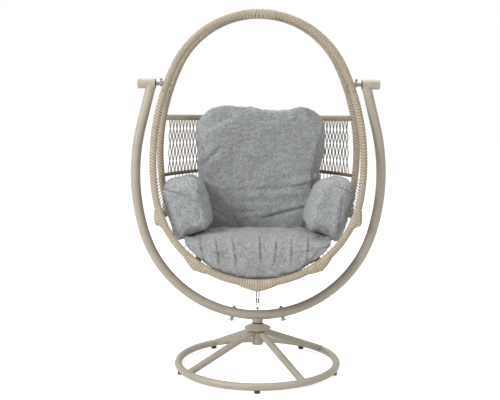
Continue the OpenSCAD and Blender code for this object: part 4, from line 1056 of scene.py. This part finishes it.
def arm_details(sign, seed):
    """Relief of an arm cushion, with its folds given as those of the back."""
    def details(p, normal):
        away = arm_seam(p)
        edge = 1 - smooth(np.abs(normal[:, 1]), 0.55, 0.9)
        total = stuffing(p, seed, 0.09) + edge * seam_line(away)
        along = np.arctan2(p[:, 2] - 0.87, sign * p[:, 0] - 0.36) * 0.14
        total += edge * gathers(away, along, 0.022, 0.022, 0.0014, seed + 1)
        for start, end, width, depth in ARM_FOLDS[sign]:
            total += fold(p, normal, start, end, width, depth)
        return total
    return details


for hand, sign, seed in (("right", 1, 7), ("left", -1, 11)):
    stuffed(f"{hand}_arm_pad", lambda q, sign=sign: arm_place(q, sign), (48, 46, 38), (6.2, 5.0, 5.8), arm_seam,
            arm_details(sign, seed), f"{hand}_arm_cushion", back_cloth)

# %% [markdown]
# ## The tether
# A loop of black cord hangs from a small eye under the middle rib, and a snap hook on the stand holds it.
# The cord is a plain closed loop: two straights and two bows.

# %% Tether loop
LOOP_TOP_Z, LOOP_LOW_Z, LOOP_HALF, LOOP_R, LOOP_TURN = 0.452958, 0.3528, 0.0087, 0.0028, math.radians(-35)
LOOP_SIDES = 12


def tether_loop():
    """A closed loop in a plane turned about +Z: half circles at both ends of two straights."""
    a = np.linspace(0, np.pi, 17)
    top, low = LOOP_TOP_Z - LOOP_HALF, LOOP_LOW_Z + LOOP_HALF
    side = np.linspace(low, top, 26)[1:-1]
    beyond = np.full(len(side), LOOP_HALF)
    x = np.concatenate([LOOP_HALF * np.cos(a), -beyond, -LOOP_HALF * np.cos(a), beyond])
    z = np.concatenate([top + LOOP_HALF * np.sin(a), side[::-1], low - LOOP_HALF * np.sin(a), side])
    line = np.stack([x * math.cos(LOOP_TURN), x * math.sin(LOOP_TURN), z], -1)
    ahead = unit(np.roll(line, -1, 0) - np.roll(line, 1, 0))
    flat = np.tile([-math.sin(LOOP_TURN), math.cos(LOOP_TURN), 0.0], (len(line), 1))
    skin = line[:, None] + LOOP_R * around(flat, np.cross(ahead, flat), LOOP_SIDES)
    i, j = np.meshgrid(np.arange(len(line)), np.arange(LOOP_SIDES), indexing="ij")
    k, m = (i + 1) % len(line), (j + 1) % LOOP_SIDES
    faces = np.stack([i * LOOP_SIDES + j, k * LOOP_SIDES + j, k * LOOP_SIDES + m, i * LOOP_SIDES + m], -1)
    return skin.reshape(-1, 3), faces.reshape(-1, 4)


strap_black = finish("strap cord", (46, 46, 46), (28, 28, 28), (0.7, 0.9), size=0.004, bump=0.6, sheen=0.3)
loop_points, loop_faces = tether_loop()
piece("tether_loop", loop_points, loop_faces, "strap", ["tether_strap"], strap_black)
print("tether loop faces:", len(loop_faces))

# %% [markdown]
# ## Finishes on the solids
# Every solid that still shows gets the finish of its kind.

# %% Assign finishes
WEARS = {
    powder_coat: ["base_ring", "spoke_front_right", "spoke_rear_right", "spoke_rear_left", "spoke_front_left",
                  "hub_plate", "bearing_sleeve", "saddle_boss", "centre_section", "left_arm", "right_arm",
                  "left_pin_housing", "right_pin_housing", "end_caps"],
    zinc: ["swivel_post", "post_retainer", "clamp_bolts", "clamp_washers", "wing_nuts", "tether_eye", "left_pin",
           "right_pin", "pin_locking_screws", "splice_spigots", "strap_anchor", "snap_hook",
           "hook_gate", "gate_rivet"],
    bolt_brown: ["splice_bolts"],
    black_nylon: ["glide_feet", "thrust_washer", "pin_bushes"],
    bearing_plastic: ["swivel_bushes"],
    hoop_steel: ["front_crown_tube", "rear_crown_tube", "front_rim_tube", "rear_frame_tube"],
}
for material, names in WEARS.items():
    for name in names:
        mesh = nodes[name].data
        mesh.materials.clear()
        mesh.materials.append(material)
left = [n for n, o in nodes.items() if not o.hide_render and not any(n in names for names in WEARS.values())]
print("solids that show without a finish of this list:", left)

# %% [markdown]
# ## Floor, light and background
# The floor is a wide pale sheet that keeps a soft shadow. The world is white where the camera or a reflection
# looks at it, and a plain grey where it lights. Three large soft lamps stand left, right and above.

# %% Stage and light
FLOOR_HALF, FLOOR_Z, FLOOR_GLOW = 14, -0.0005, 0.66
WORLD_LIGHT, WORLD_SEEN = 0.44, 0.56
WHITE = (1, 1, 1, 1)


def seen_directly(tree):
    """1 where the camera, a reflection or a refraction looks, and 0 where light is only gathered."""
    ray = node(tree, "ShaderNodeLightPath").outputs
    mirrored = maths(tree, "MAXIMUM", ray["Is Glossy Ray"], ray["Is Transmission Ray"])
    return maths(tree, "MAXIMUM", ray["Is Camera Ray"], mirrored)


def lamp(name, place, target, size, power):
    """A square lamp of one size in metres, aimed at a target."""
    light = bpy.data.lights.new(name, "AREA")
    light.size, light.energy = size, power
    made = bpy.data.objects.new(name, light)
    bpy.context.scene.collection.objects.link(made)
    made.location = place
    made.rotation_mode = "QUATERNION"
    made.rotation_quaternion = (Vector(target) - Vector(place)).to_track_quat("-Z", "Y")


floor_x, floor_y = np.meshgrid(*[np.linspace(-FLOOR_HALF, FLOOR_HALF, 3)] * 2, indexing="ij")
floor_points = np.stack([floor_x.ravel(), floor_y.ravel(), np.full(9, FLOOR_Z)], -1)
floor = bare_object("floor", floor_points, [[0, 3, 4, 1], [1, 4, 5, 2], [3, 6, 7, 4], [4, 7, 8, 5]])
paper, tree, shader, _ = new_material("white paper")
shader.inputs["Base Color"].default_value = (0.86, 0.86, 0.86, 1)
shader.inputs["Roughness"].default_value = 0.9
glow = node(tree, "ShaderNodeEmission",
            {"Color": WHITE, "Strength": maths(tree, "MULTIPLY", seen_directly(tree), FLOOR_GLOW)})
blend = node(tree, "ShaderNodeAddShader")
tree.links.new(shader.outputs[0], blend.inputs[0])
tree.links.new(glow.outputs[0], blend.inputs[1])
tree.links.new(blend.outputs[0], tree.nodes["Material Output"].inputs["Surface"])
floor.data.materials.append(paper)

world = bpy.data.worlds.new("studio")
bpy.context.scene.world = world
world.use_nodes = True
tree = world.node_tree
background = tree.nodes["Background"]
lit = maths(tree, "ADD", maths(tree, "MULTIPLY", seen_directly(tree), WORLD_SEEN), WORLD_LIGHT)
feed(tree, background.inputs["Strength"], lit)
feed(tree, background.inputs["Color"], WHITE)

lamp("key", (-3.3, -2.9, 3.3), (0, 0, 1.0), 1.9, 185)
lamp("fill", (3.4, -3.0, 2.0), (0, 0, 0.9), 2.4, 30)
lamp("top", (0.4, 0.8, 4.2), (0, 0, 1.0), 2.4, 90)
bpy.context.scene.view_settings.view_transform = "Standard"

# %% [markdown]
# ## Last update
# The view layer is brought up to date.

# %% Update
bpy.context.view_layer.update()
